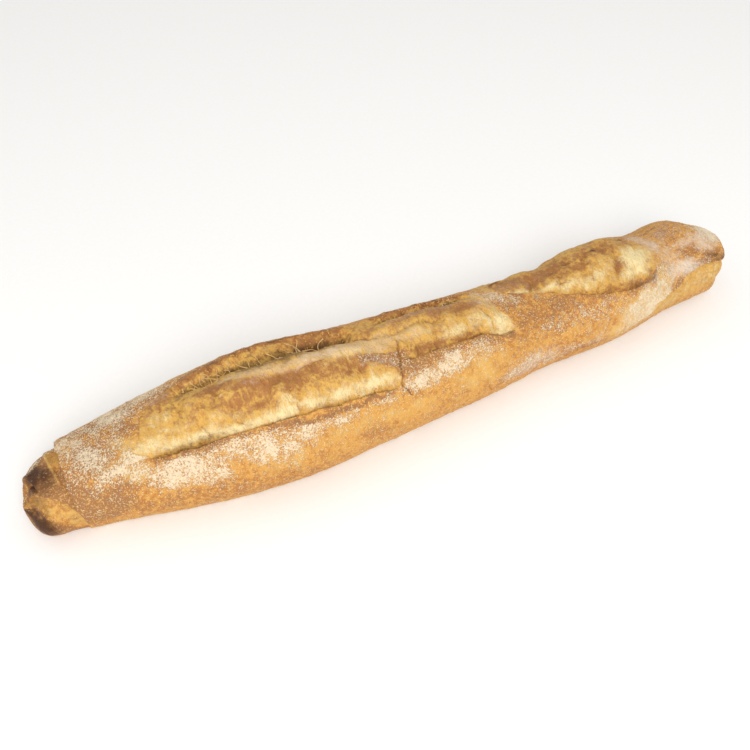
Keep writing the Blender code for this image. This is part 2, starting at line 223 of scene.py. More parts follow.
# cracks and creases: the run as (station, angle), half the width, the depth, how dark it is, which is partly
# browning and partly painted shade in the groove
CRACKS = ((((-17, 98), (-19, 112), (-22, 122), (-23, 132), (-25, 141), (-22, 152)), 0.6, 1.7, 0.95),
          (((27, 168), (28, 178), (31, 188)), 0.5, 0.7, 0.5),
          (((-170, 134), (-175, 144), (-175, 154)), 0.5, 0.5, 0.4),
          (((38, 90), (41, 98), (42, 108)), 0.9, 0.9, 0.5), (((30, 72), (42, 78), (48, 88)), 0.7, 0.6, 0.5),
          (((117, 100), (116, 110), (118, 120)), 1.1, 1.0, 0.45),
          (((139, 98), (136, 108), (131, 120)), 1.5, 1.8, 0.6),
          (((-98, 190), (-93, 184), (-90, 181)), 0.6, 0.5, 0.4),
          (((-180, 62), (-178, 78), (-172, 92)), 0.7, 0.5, 0.4),
          (((-132, 118), (-131, 124), (-129, 131)), 0.9, 0.9, 0.45),
          (((-124, 113), (-112, 117), (-98, 115)), 0.9, 0.7, 0.4),
          (((-116, 124), (-112, 130)), 0.8, 0.8, 0.5), (((-85, 116), (-84, 124), (-83, 132)), 0.9, 0.7, 0.4),
          (((-78, 122), (-77, 134)), 0.7, 0.6, 0.3), (((-38, 108), (-32, 113), (-24, 120)), 0.8, 0.8, 0.5),
          (((-50, 104), (-46, 112)), 0.7, 0.5, 0.3), (((-140, 88), (-139, 96)), 0.8, 0.9, 0.3),
          (((-160, 112), (-158, 124)), 0.8, 0.6, 0.2), (((2, 96), (6, 102), (8, 110)), 0.8, 0.7, 0.3),
          (((14, 92), (16, 102), (14, 112)), 0.7, 0.6, 0.3),
          (((95, 96), (97, 104), (96, 110)), 0.8, 0.7, 0.4), (((106, 100), (107, 112)), 0.7, 0.6, 0.3),
          (((-2, 66), (14, 64), (26, 65)), 0.6, 0.6, 0.3))
# where the rings of points crowd, as (station, reach, how many more)
CLOSE_RINGS = ((-202, 5, 1.2), (-20, 8, 0.5), (52, 8, 0.3), (-160, 10, 0.5), (160, 8, 0.4))
# stretches of the furrows that strands span: cut, from, to, share of the strands
STRAND_STRETCHES = (("first", -133, -112, 4), ("first", -88, -58, 5), ("first", -56, -36, 3),
                    ("first", -112, -88, 2), ("second", -14, 32, 3))
STRAND_SUNK = 0.25                  # how deep a strand's ends sit in the crumb


# ---- helpers ----
def curve(knots, x):
    """Smooth curve through (place, value) pairs, level beyond the ends."""
    place, value = np.array(knots, float).T
    slope = np.gradient(value, place)
    slope[0] = slope[-1] = 0
    x = np.clip(x, place[0], place[-1])
    i = np.clip(np.searchsorted(place, x, side="right") - 1, 0, len(place) - 2)
    h = place[i + 1] - place[i]
    t = (x - place[i]) / h
    return ((1 + 2 * t) * (1 - t) ** 2 * value[i] + t * (1 - t) ** 2 * h * slope[i]
            + t ** 2 * (3 - 2 * t) * value[i + 1] + t ** 2 * (t - 1) * h * slope[i + 1])


def step(low, high, v):
    """Climbs smoothly from 0 at `low` to 1 at `high`."""
    t = np.clip((v - low) / (high - low), 0, 1)
    return t * t * (3 - 2 * t)


def bell(v, middle, reach):
    """1 at the middle, falling away smoothly on both sides."""
    return np.exp(-((v - middle) / reach) ** 2)


def mix(pair, t):
    """From the first of the pair to the second as t goes from 0 to 1."""
    return pair[0] + (pair[1] - pair[0]) * t


def noise(size, seed, x, y=0.0, z=0.0):
    """Smooth noise from -1 to 1 with features about `size` wide."""
    rng = np.random.default_rng(seed)
    table, order = rng.uniform(-1, 1, 4096), rng.permutation(4096)
    p = [np.broadcast_to(v, np.shape(x)) / size + 500.0 for v in (x, y, z)]
    cell = [np.floor(v).astype(int) for v in p]
    f = [(v - c) ** 3 * ((v - c) * (6 * (v - c) - 15) + 10) for v, c in zip(p, cell)]
    total = 0
    for corner in np.ndindex(2, 2, 2):
        k, weight = 0, 1
        for c, share, far in zip(cell, f, corner):
            weight = weight * (share if far else 1 - share)
            k = order[(k + c + far) & 4095]
        total = total + weight * table[k]
    return total


def rough(size, seed, x, y=0.0, z=0.0, layers=3):
    """Noise with finer noise on it."""
    parts = [(0.55 ** i, noise(size / 2 ** i, seed + 17 * i, x, y, z)) for i in range(layers)]
    return sum(w * n for w, n in parts) / sum(w for w, _ in parts)


# ---- the unmarked loaf ----
def rounding(x):
    """How much of the full section is left towards the tips."""
    left = np.clip((LEFT_END_FROM - x) / (HALF_LENGTH + LEFT_END_FROM), 0, 1)
    right = np.clip((x - RIGHT_END_FROM) / (HALF_LENGTH - RIGHT_END_FROM), 0, 1)
    return np.minimum(np.sqrt(1 - left ** LEFT_END_BLUNT), np.sqrt(1 - right ** RIGHT_END_BLUNT))


def plain_loaf(x, angle):
    """Points on the loaf without cuts: a wide upper arch over a lower half that the table cuts off."""
    half, left, p = curve(HALF_WIDTH, x), rounding(x), np.radians(angle)
    waist = WAIST_OVER_HEIGHT * HEIGHT_OVER_WIDTH * 2 * half
    reach = np.where(np.sin(p) > 0, 2 * half * HEIGHT_OVER_WIDTH - waist, BELLY * waist)
    lift = RIGHT_TIP_LIFT * (1 - left) * (x > 0)
    return np.stack([x, curve(MIDDLE_LINE, x) + left * half * np.cos(p),
                     waist + lift + left * reach * np.sin(p)], -1)


def outward(x, angle):
    """Unit vector standing out from the plain loaf."""
    inner = np.clip(x, -HALF_LENGTH + 0.05, HALF_LENGTH - 0.05)
    du = plain_loaf(inner + 0.02, angle) - plain_loaf(inner - 0.02, angle)
    dv = plain_loaf(inner, angle + 0.2) - plain_loaf(inner, angle - 0.2)
    n = np.cross(dv, du)
    p = np.radians(angle)
    side = np.sign(n[..., 1] * np.cos(p) + n[..., 2] * np.sin(p))
    return n / np.linalg.norm(n, axis=-1, keepdims=True) * side[..., None]


def per_degree(x):
    """Millimetres of crust to one degree of angle."""
    return curve(HALF_WIDTH, x) * 0.92 * np.pi / 180


# ---- cuts ----
def near_lip(name, x):
    """Angle of a cut's near lip, which hangs over the opening and is ragged."""
    cut = CUTS[name]
    lean = curve(cut["lean"], x) + 0.7 * curve(cut["lip"], x)
    ragged = 0.7 * noise(8.0, sorted(CUTS).index(name) + 21, x) + 0.35 * noise(3.0, 26, x)
    return curve(cut["near"], x) + (lean + ragged) / per_degree(x)


def burst_edge(x):
    """Angle of the crust's edge over the burst side of the right end."""
    return curve(BURST_EDGE, x) - (2.2 * curve(BURST_LEAN, x) - 0.9 * rough(7.0, 81, x)) / per_degree(x)


def torn(x, angle):
    """Fleecy lumps of torn crumb, and the thin lines where they part."""
    v = angle * ROUND_MM
    slant = x + 0.3 * v + 3.0 * noise(12, 200, x, v)
    lumps = 0.6 * noise(7.5, 201, slant, v / 1.7) + 0.4 * noise(3.4, 202, slant, v / 1.8)
    parting = np.clip(1 - np.abs(noise(9.0, 203, slant, v / 1.6)) / 0.14, 0, 1)
    return lumps, parting * step(-0.1, 0.3, noise(16, 204, x, v))


def place_in_cut(name, x, angle, relief):
    """Where each point lies in one cut.

    `inside` and `beyond` are millimetres in from the near and the far lip.  `up` goes from 0 at the near lip
    to 1 at the ridge, `down` from the ridge to the furrow and `back` from the furrow to the far lip.
    """
    cut, k = CUTS[name], per_degree(x)
    near, ridge = near_lip(name, x), curve(cut["ridge"], x)
    far = curve(cut["far"], x) + relief * 1.1 * rough(10.0, 31, x) / k
    furrow = np.clip(curve(cut["furrow"], x) + relief * rough(7.0, 41, x) / k, far + 3, ridge - 3)
    across = np.clip((near - angle) / (near - far), 0, 1)
    start, end = mix(cut["start"], across), mix(cut["end"], across)
    shown = (step(start, start + mix(cut["run_in"], across), x)
             * step(end, end - mix(cut["run_out"], across), x))
    inside, beyond = (near - angle) * k, (angle - far) * k
    up = np.clip((near - angle) / (near - ridge), 0, 1)
    down = np.clip((ridge - angle) / (ridge - furrow), 0, 1)
    back = np.clip((furrow - angle) / (furrow - far), 0, 1)
    pits = step(0.10, 0.50, noise(5.0, 207, x + 0.5 * beyond, beyond * 1.2)) * bell(back, 0.25, 0.35)
    # the opened crumb reaches a little further than the hollow
    bare_from = curve(cut["bare_from"], angle) if "bare_from" in cut else start - 1
    bare_to = curve(cut["bare_to"], angle) if "bare_to" in cut else end
    soft = cut.get("bare_soft", 0.8)
    bared = (step(-0.3, 0.5, inside) * step(-0.2, 0.6, beyond)
             * step(bare_from - 0.8, bare_from + 0.8, x + 1.8 * noise(5, 208, x, inside))
             * step(bare_to + soft, bare_to - soft, x + 1.4 * noise(4, 209, x, inside)))
    return dict(shown=shown, inside=inside, beyond=beyond, up=up, down=down, back=back, pits=pits,
                bared=bared, valley=curve(cut["valley"], x))


def opened_crumb(cut, at, x, angle, relief):
    """Height of the opened crumb over the plain crust, with its lumps, threads and pits."""
    gap, swell, rise = (curve(cut[w], x) for w in ("gap", "swell", "rise"))
    valley, up, down, back, inside, beyond = (
        at[w] for w in ("valley", "up", "down", "back", "inside", "beyond"))
    floor = -gap + (gap + swell) * np.sin(up * np.pi / 2) ** 0.75
    floor = floor - (valley + swell) * (1 - np.cos(down * np.pi / 2)) ** 1.25 + (valley + rise) * back ** 0.8
    lumps, parting = torn(x, angle)
    fleece = (2.2 * lumps - 1.2 * parting) * step(0.0, 0.12, up) * (1 - 0.75 * step(0.1, 0.5, down))
    swells = 0.9 * noise(12, 203, x, inside * 1.2) * step(0, 0.3, up) * (1 - back)
    wall = (0.80 * noise(4.2, 205, x, beyond / 1.4) + 0.55 * noise(2.0, 206, x, beyond / 1.2)
            - 2.4 * at["pits"])
    wall = wall * step(0.0, 0.2, back) * step(0.0, 2.0, beyond) * step(0, 3, valley)
    return floor + relief * (fleece + swells + wall)


def open_cut(name, x, angle, relief):
    """Offsets along and out of the crust that one cut makes, and where each point lies in it."""
    cut, at = CUTS[name], place_in_cut(name, x, angle, relief)
    inside, beyond = at["inside"], at["beyond"]
    lip = curve(cut["lip"], x) * (1 + 0.35 * relief * rough(6.0, 51, x))
    lean = curve(cut["lean"], x)
    uneven = 0.9 * relief * rough(6.0, 61, x)
    top = curve(cut["rise"], x) + uneven
    face = step(0.0, 1.1, inside)
    crumb = lip * (1 - face) + (opened_crumb(cut, at, x, angle, relief) + uneven * at["back"]) * face
    out = np.where(inside <= 0, lip * np.exp(np.minimum(inside, 0) / 7.0),
                   np.where(beyond <= 0, top * np.exp(np.minimum(beyond, 0) / 8.0), crumb))
    along = lean * np.where(inside <= 0, np.exp(np.minimum(inside, 0) / 5.0),
                            np.exp(-np.maximum(inside, 0) / 0.5))
    return along * at["shown"], out * at["shown"], at


# ---- ends ----
def shape_nub(x, angle, relief):
    """Offset of the folded left end: a nub past the crust's rim, split between its two lobes."""
    rim = curve(RIM, angle) + relief * 0.7 * noise(16, 71, angle)
    past = step(rim + 0.2, rim - 1.1, x)
    notch, top, low, fold = curve(NOTCH, x), curve(SPLIT_TOP, x), curve(SPLIT_LOW, x), curve(FOLD, angle)
    s = (angle - top) / np.maximum(low - top, 8)
    split = step(-0.12, 0.12, s) * step(1.25, 0.75, s) * past
    out = 0.6 * bell(x, rim + 2.5, 3.0) * step(190, 150, angle) - curve(NUB_STEP, angle) * past - 1.7 * split
    out = out + 1.5 * past * bell(angle, notch - 20, 18) * step(-206, -212, x)
    out = (out - 3.2 * bell(angle, notch, 10) * step(-215, -222, x)
           - 2.8 * bell(angle, 42, 6) * step(-215, -222, x))
    out = out + 0.8 * past * bell(angle, low + 20, 20) * step(-205, -214, x)
    out = out + 0.8 * past * bell(x, fold, 0.9) * step(40, 60, angle) * step(168, 150, angle)
    return out, dict(past=past, split=split, fold=fold)


def shape_burst(x, angle, relief):
    """Offsets of the right end, where crumb burst out low down under the edge of the crust."""
    below = (angle - burst_edge(x)) * per_degree(x)
    outside = np.minimum(below, 0)
    under = step(0, 1.2, below) * step(34, 12, below)
    out = -step(192, 223, x) * (1.2 * bell(angle, 140, 22) + 5.0 * bell(angle, 194, 30))
    out = out - curve(BURST_DEPTH, x) * under
    out = out + curve(BURST_ROLL, x) * np.where(below < 0, np.exp(outside / 6.0), 1 - step(0, 1.2, below))
    out = out + relief * 0.3 * noise(3.0, 72, x, below / 5) * under * step(150, 170, x)
    along = -curve(BURST_LEAN, x) * np.where(below < 0, np.exp(outside / 4.0),
                                             np.exp(-np.maximum(below, 0) / 0.5))
    return along, out, dict(below=below, under=under)


def shape_ends(x, angle, relief):
    """Offsets of both ends, and where each point lies in them."""
    nub, left = shape_nub(x, angle, relief)
    along, burst, right = shape_burst(x, angle, relief)
    bumps = sum(h * bell(x, sx, rx) * bell(angle, sa, ra) for sx, sa, rx, ra, h in END_BUMPS)
    calm = step(0.0, 0.3, rounding(x))
    return along * calm, (nub + burst + bumps) * calm, {**left, **right}


# ---- cracks and the finished surface ----
def distance_to(run, x, angle):
    """Distance in millimetres over the crust to a run of (station, angle) points."""
    v = ROUND_MM * angle
    wx, wv = x + 0.8 * noise(6.0, 91, x, v), v + 0.8 * noise(6.0, 92, x, v)
    nearest = np.full(x.shape, 1e9)
    for (x1, a1), (x2, a2) in zip(run[:-1], run[1:]):
        dx, dv = x2 - x1, ROUND_MM * (a2 - a1)
        t = np.clip(((wx - x1) * dx + (wv - ROUND_MM * a1) * dv) / (dx * dx + dv * dv), 0, 1)
        nearest = np.minimum(nearest, np.hypot(wx - x1 - t * dx, wv - ROUND_MM * a1 - t * dv))
    return nearest


def creases(x, angle):
    """Depth and darkness of all cracks and creases; the darkness is partly browning and partly painted shade
    in the groove.
    """
    depth, dark = np.zeros(x.shape), np.zeros(x.shape)
    for run, half, down, darkness in CRACKS:
        line = bell(distance_to(run, x, angle), 0, half)
        depth, dark = np.maximum(depth, down * line), np.maximum(dark, darkness * line)
    return depth, dark


def loaf_surface(x, angle, relief=1.0):
    """The finished crust and the layout that its colours follow."""
    along, out, ends = shape_ends(x, angle, relief)
    cuts = {}
    for name in CUTS:
        more_along, more_out, cuts[name] = open_cut(name, x, angle, relief)
        along, out = along + more_along, out + more_out
    seam = bell((angle - curve(SEAM, x)) * per_degree(x), 0, 1.6) * step(-44, -36, x) * step(18, 6, x)
    cracks, dark = creases(x, angle)
    at = angle - along / per_degree(x)
    p = plain_loaf(x, at)
    # a tongue of crust stays on between the first two cuts
    t = np.clip((x + 42) / 22, 0, 1)
    off_middle = np.abs(angle - 105 - 14 * t + 3 * noise(6, 210, x, angle * ROUND_MM))
    tongue = step(3.2 + 5 * t, 1.8 + 5 * t, off_middle) * step(-45, -42, x) * step(-12, -17, x)
    bared = np.maximum.reduce([c["bared"] for c in cuts.values()]) * (1 - tongue)
    here = p[..., 0], p[..., 1], p[..., 2]
    blisters = 0.28 * step(0.45, 0.8, noise(3.4, 113, *here))
    dents = 0.22 * noise(7, 111, *here) + 0.12 * noise(2.6, 112, *here) + blisters
    skin = 0.55 * rough(34, 101, *here, 2) + relief * (1 - bared) * dents
    calm = step(0.0, 0.3, rounding(x))
    p = p + outward(x, at) * (out - 1.8 * seam - cracks + skin * calm)[..., None]
    p[..., 2] = np.maximum(p[..., 2], 0)
    return p, dict(cuts=cuts, ends=ends, dark=dark, seam=seam, bared=bared, tongue=tongue)


# ---- the grid of points ----
def guide_lines(x):
    """Three lines of points that follow the lips, so that each lip is one clean edge."""
    first, second, third = (near_lip(name, x) for name in CUTS)
    far = curve(((-225, 80), (-150, 75), (-126, 62), (-105, 55), (-60, 52), (-15, 54), (0, 52), (30, 54),
                 (48, 60)), x)
    inner = mix((far, third), step(44, 56, x))
    inner = np.where(x > 168, curve(((168, 127), (190, 116), (225, 110)), x), inner)
    middle = np.where(x < -42, curve(((-225, 108), (-80, 104), (-42, 106)), x), second)
    after = curve(((60, 128), (100, 134), (130, 141), (150, 143), (166, 138), (225, 130)), x)
    middle = np.where(x > 60, after, middle)
    outer = np.where(x < -170, curve(((-225, 140), (-208, 134), (-170, 127)), x), first)
    outer = np.where(x > -20, curve(((-20, 138), (20, 142), (60, 146), (110, 152), (128, 168)), x), outer)
    return inner, middle, np.where(x > 128, burst_edge(x), outer)


def ring_stations(rings):
    """Rings are evenly spaced along the profile and closer at the rim, the crack and the cuts' ends."""
    x = HALF_LENGTH * np.sin(np.linspace(-np.pi / 2, np.pi / 2, 20001))
    radius = curve(HALF_WIDTH, x) * rounding(x) * 0.9
    middle = (x[1:] + x[:-1]) / 2
    close = 1 + sum(more * bell(middle, station, reach) for station, reach, more in CLOSE_RINGS)
    total = np.concatenate([[0], np.cumsum(np.hypot(np.diff(x), np.diff(radius)) * close)])
    return np.interp(np.linspace(0, total[-1], rings), total, x)


def ring_angles(x, runs):
    """A fixed number of points between the base and the guide lines, crowded at the lines."""
    stops = (np.full_like(x, -90.0), *guide_lines(x), np.full_like(x, 270.0))
    columns = []
    for i, count in enumerate(runs):
        t = np.arange(count) / count
        if i == 0:
            t = t + 0.65 * t * (1 - t)
        elif i == len(runs) - 1:
            t = t - 0.65 * t * (1 - t)
        else:
            t = t - 0.72 * np.sin(2 * np.pi * t) / (2 * np.pi)
        columns.append(stops[i][:, None] + (stops[i + 1] - stops[i])[:, None] * t[None, :])
    return np.concatenate(columns, 1)


def grid(rings, runs):
    """Station and angle of every point, as two arrays with a row to each ring."""
    x = ring_stations(rings)[1:-1]
    angles = ring_angles(x, runs)
    return np.broadcast_to(x[:, None], angles.shape).copy(), angles


# ---- where each finish lies ----
# shade is painted shade; the scorch finish is scorching and also painted shade in pits, cracks and the
# furrows' deepest holes
FINISHES = ("bared", "flour", "dust", "toast", "gold", "fresh", "crest", "tan", "shade", "scorch_and_shade")
# how far a finish's outlines wander and how level its spots are inside, where not as usual
SPOT_EDGES = {"fresh": (0.5, 1.0), "crest": (0.6, 1.1), "tan": (0.5, 1.4), "scorch_and_shade": (0.35, 1.0),
              "shade": (0.4, 1.2)}
# spots as (station, angle, reach along, reach round, amount)
SPOTS = {
    "flour": (
        (-186, 100, 22, 32, 0.56), (-200, 76, 12, 34, 0.65), (-165, 55, 28, 24, 0.8),
        (-172, 130, 16, 16, 0.7), (-150, 148, 15, 14, 1.0), (-138, 160, 12, 11, 0.85),
        (-118, 143, 20, 11, 0.82), (-102, 154, 14, 10, 0.8), (-84, 149, 15, 8, 0.72), (-62, 149, 20, 7, 0.6),
        (-40, 148, 12, 8, 0.6), (-10, 143, 16, 9, 0.8), (-28, 114, 10, 6, 0.5), (8, 140, 14, 9, 0.95),
        (24, 136, 10, 8, 0.55), (34, 142, 12, 8, 0.4), (60, 176, 22, 9, 0.4), (82, 182, 22, 9, 0.35),
        (45, 82, 9, 18, 0.6), (60, 88, 14, 18, 0.5), (90, 62, 26, 9, 0.3), (150, 152, 16, 12, 0.55),
        (165, 140, 10, 16, 0.5), (148, 164, 18, 14, 0.85), (150, 180, 18, 14, 0.75), (200, 142, 14, 6, 0.2),
        (218, 92, 8, 22, 0.9), (100, 142, 30, 10, 0.35), (128, 150, 14, 10, 0.45), (-214, 54, 6, 10, 0.85)),
    "dust": (
        (-146, 77, 8, 6, 0.5), (171, 88, 6, 36, 0.72), (180, 140, 16, 12, 0.9), (176, 118, 9, 18, 0.6),
        (145, 172, 26, 20, 0.7), (208, 116, 13, 13, 0.85), (160, 152, 14, 22, 0.55), (110, 182, 14, 12, 0.4),
        (217, 95, 7, 22, 1.0), (186, 82, 16, 30, 0.4), (194, 108, 14, 10, 0.65), (72, 74, 18, 12, 0.3),
        (10, 78, 26, 8, 0.4), (-100, 97, 16, 4, 0.35), (-66, 97, 24, 5, 0.45), (48, 84, 16, 16, 0.5),
        (62, 178, 24, 14, 0.62), (86, 184, 14, 8, 0.5), (-8, 140, 20, 8, 0.3), (186, 158, 12, 8, 0.4),
        (-30, 114, 12, 7, 0.45)),
    "toast": (
        (-198, 148, 11, 26, 1.1), (-182, 154, 16, 12, 0.6), (-190, 166, 18, 24, 1.0), (-209, 108, 8, 12, 1.2),
        (-163, 182, 30, 12, 0.5), (-138, 188, 30, 10, 0.35), (-100, 197, 40, 8, 0.4),
        (-186, 110, 20, 30, 0.62), (-172, 60, 26, 24, 0.8), (-166, 88, 5, 16, 0.8), (-146, 70, 16, 12, 0.8),
        (-150, 142, 14, 10, 0.4), (-10, 126, 26, 7, 0.85), (14, 126, 22, 6, 0.85), (36, 128, 8, 7, 0.6),
        (-70, 141, 26, 4, 0.75), (-40, 144, 16, 4, 0.6), (78, 120, 32, 18, 0.62), (58, 102, 18, 12, 0.55),
        (112, 138, 26, 7, 0.3), (75, 142, 30, 12, 0.4), (62, 180, 26, 12, 0.5), (98, 190, 16, 8, 0.7),
        (188, 86, 9, 18, 0.5), (192, 122, 10, 9, 0.7), (208, 132, 9, 6, 0.9), (180, 156, 7, 6, 0.7),
        (-130, 185, 40, 12, 0.4), (-42, 176, 12, 10, 0.5), (140, 60, 30, 12, 0.4)),
    "gold": (
        (-168, 114, 8, 16, 0.9), (-176, 122, 10, 14, 0.5), (-172, 140, 6, 12, 0.5), (-45, 165, 40, 9, 0.45),
        (25, 158, 18, 18, 0.5), (146, 170, 22, 20, 1.0), (124, 178, 12, 12, 0.7), (-100, 165, 26, 8, 0.35),
        (162, 146, 8, 16, 0.6), (-60, 180, 50, 8, 0.3)),
    "fresh": (
        (-159, 119, 9, 8, 0.8), (-150, 97, 9, 5, 0.35), (-146, 110, 9, 6, 0.4), (-135, 127, 8, 3.5, 1.0),
        (-152, 124, 9, 5, 0.8), (-122, 128, 9, 5, 1.0), (-113, 128, 8, 4, 0.95), (-118, 117, 9, 3, 0.55),
        (-103, 129, 12, 5, 0.95), (-106, 120, 9, 3, 0.5), (-90, 131, 9, 4, 1.0), (-86, 124, 4, 5, 0.5),
        (-74, 131, 10, 4.5, 0.95), (-60, 131, 12, 5, 1.0), (-42, 130, 14, 5, 1.0), (-31, 133, 8, 5, 0.8),
        (-50, 136, 10, 3, 0.6), (20, 109, 13, 6, 0.85), (33, 106, 9, 7, 0.6), (48, 118, 8, 11, 1.0),
        (150, 108, 14, 12, 1.0), (148, 119, 12, 6, 0.85), (134, 108, 7, 5, 0.5), (113, 110, 10, 5, 0.75),
        (100, 104, 8, 4, 0.7), (88, 98, 10, 3.5, 0.75), (74, 89, 10, 3, 0.7), (-44, 100, 12, 4, 0.5),
        (-30, 98, 10, 4, 0.4), (4, 102, 14, 4, 0.35)),
    "crest": (
        (-148, 76, 9, 9, 0.9), (-119, 93, 10, 6, 1.15), (-104, 99, 12, 6, 1.1), (-95, 103, 10, 5, 1.0),
        (-112, 108, 16, 5, 0.75), (-86, 104, 12, 5, 0.8), (-84, 112, 14, 6, 0.75), (-72, 106, 12, 6, 1.0),
        (-60, 112, 13, 6, 0.8), (-50, 107, 10, 5, 0.9), (-42, 114, 9, 5, 0.6), (-90, 120, 8, 4, 0.5),
        (-134, 108, 8, 5, 0.35), (-102, 117, 10, 3, 0.55), (-12, 80, 18, 5, 0.6), (10, 80, 22, 7, 0.7),
        (32, 88, 10, 8, 0.8), (-4, 104, 14, 3, 0.3), (0, 115, 18, 4, 0.7), (24, 118, 12, 3, 0.5),
        (72, 72, 15, 12, 0.8), (95, 76, 22, 14, 0.85), (108, 92, 14, 6, 0.75), (125, 80, 18, 12, 0.7),
        (64, 62, 8, 6, 0.9), (-60, 60, 18, 8, 1.0), (143, 84, 10, 8, 0.5), (154, 74, 8, 10, 0.5),
        (136, 110, 3.5, 8, 0.85), (122, 125, 12, 4, 0.55), (136, 131, 16, 5, 0.65), (152, 134, 9, 5, 0.65)),
    "tan": (
        (-128, 88, 8, 5, 0.4), (-108, 87, 8, 4, 0.9), (-97, 91, 12, 4, 1.0), (-82, 94, 16, 4, 1.0),
        (-64, 96, 18, 6, 1.0), (-46, 92, 16, 10, 1.0), (-28, 95, 14, 11, 0.95), (-12, 98, 14, 9, 0.7),
        (4, 96, 14, 5, 0.4), (-136, 82, 6, 5, 0.3), (60, 74, 8, 8, 0.4), (48, 84, 8, 10, 0.3)),
    # painted shade: the first cut's furrow and the slits under the near lips of the first two cuts
    "shade": (
        (-111, 79, 8, 6, 0.4), (-95, 82, 14, 9, 0.85), (-76, 83, 16, 9, 0.9), (-58, 82, 12, 8, 0.8),
        (-136, 90, 8, 10, 0.45), (-140, 130, 18, 3, 0.7), (-12, 113, 11, 4, 0.4), (-150, 80, 6, 5, 0.3)),
    # the spots at (158, 127), (-60, 67) and (-78, 66) are painted shade in a cleft and in the furrow's hole;
    # the rest is scorching
    "scorch_and_shade": (
        (108, 76, 3, 2.2, 0.8), (129, 80, 3.5, 2.4, 0.8), (62, 60, 5, 3, 0.6), (211, 134, 7, 4, 0.6),
        (154, 71, 4, 3, 0.6), (158, 127, 2.5, 5, 0.35), (184, 66, 6, 3, 0.5), (-217, 82, 6, 24, 1.15),
        (-211, 94, 5, 20, 0.8), (-213, 110, 7, 9, 0.65), (-211, 122, 7, 8, 0.4), (-220, 182, 7, 28, 1.0),
        (-223, 156, 4, 10, 0.7), (-205, 46, 3, 9, 0.8), (-222, 66, 3, 6, 0.6), (-204, 82, 1.6, 5, 0.5),
        (-146, 135, 14, 2.5, 0.5), (-60, 67, 10, 5, 0.8), (-78, 66, 6, 4, 0.6))}


class Coat(dict):
    """How much of each finish lies at every point of the crust."""

    def raise_to(self, name, amount):
        """Brings a finish up to this amount where it is less."""
        self[name] = np.maximum(self[name], amount)

    def thin(self, name, share):
        """Takes this share of a finish away."""
        self[name] = self[name] * (1 - share)


def spots(places, x, angle, wander=1.0, level=1.4):
    """Soft spots with wandering outlines; the strongest one counts."""
    wx = x + wander * 6 * rough(16, 301, x, angle * ROUND_MM)
    wa = angle + wander * 8 * rough(16, 302, x, angle * ROUND_MM)
    total = np.zeros_like(x)
    for sx, sa, rx, ra, amount in places:
        r = ((wx - sx) / rx) ** 2 + ((wa - sa) / ra) ** 2
        total = np.maximum(total, amount * np.exp(-(r ** level) * 0.7))
    return total


def first_coat(x, angle, height, bared, fine, clot, wide):
    """The patches of each finish, with the noise that breaks them up."""
    coat = Coat((name, spots(places, x, angle, *SPOT_EDGES.get(name, ()))) for name, places in SPOTS.items())
    lumps, parting = torn(x, angle)
    coat["flour"] = coat["flour"] * (1 + 0.35 * clot) + 0.15 + 0.12 * wide
    coat.raise_to("flour", (step(48, 25, angle) + step(205, 215, angle)) * (0.42 + 0.35 * wide))
    coat.raise_to("flour", (0.75 + 0.4 * wide) * step(11.0, 1.5, height))
    coat["toast"] += 0.16 * wide + 0.06 * clot
    coat["gold"] += 0.1 * clot
    coat["fresh"] = 1.1 * coat["fresh"] + 0.35 * lumps - 0.4 * parting
    coat["crest"] = 1.15 * coat["crest"] - 0.4 * lumps + 0.45 * parting
    coat["tan"] += 0.15 * clot
    coat["shade"] = coat["shade"] * bared + 0.1 * fine
    coat["crumbs"] = np.zeros_like(x)
    coat["bared"] = bared
    return coat


def paint_cut(coat, cut, fine, clot):
    """Painted shade in the furrow, its pits and the slit under the near lip, browned far rim, toasted near
    lip and torn bits of one cut.
    """
    shown, inside, beyond, back = (cut[w] for w in ("shown", "inside", "beyond", "back"))
    hollow = step(0.5, 3.5, cut["valley"]) * shown
    furrow = step(0.68, 1.0, cut["down"]) * step(0.55, 0.1, back) * hollow
    pits = cut["pits"] * hollow * step(0.0, 0.1, back)
    rim = bell(beyond, 0.4, 3.0 + 1.6 * clot) * hollow
    # painted shade: the furrow's low ground, the pits and the slit under the overhanging near lip
    coat.raise_to("shade", furrow * (0.95 + 0.4 * fine))
    coat.raise_to("shade", 0.9 * pits)
    coat.raise_to("shade", cut["slit"] * bell(inside, 0.9, 1.3 + 0.7 * clot) * shown)
    coat.thin("fresh", 0.8 * step(0.2, 0.6, cut["down"]) * shown)
    coat.raise_to("crest", rim * (1.25 + 0.3 * fine))
    coat.raise_to("toast", 0.9 * bell(beyond, -1.5, 3.0) * hollow)
    coat.raise_to("toast", (cut["brown"] + 0.4 * clot) * bell(inside, -1.2, 2.2 + clot) * shown)
    coat.thin("flour", 0.8 * bell(inside, -0.6, 1.4 + 0.8 * clot) * shown)
    # painted shade: the pits are darkened towards char
    coat.raise_to("scorch_and_shade", 0.5 * pits)
    coat.raise_to("scorch_and_shade", rim * (0.10 + 0.4 * step(-0.1, 0.5, fine)))
    coat.raise_to("scorch_and_shade", 0.35 * bell(inside, 0.0, 0.6) * shown * (1 + clot))
    wall = 0.9 * step(0.1, 0.4, back) * step(0.0, 1.5, beyond)
    coat.raise_to("crumbs", (wall + 0.5 * bell(inside, 1.2, 1.2)) * hollow)
    coat.raise_to("crumbs", 0.35 * bell(inside, 1.5, 1.5) * shown)


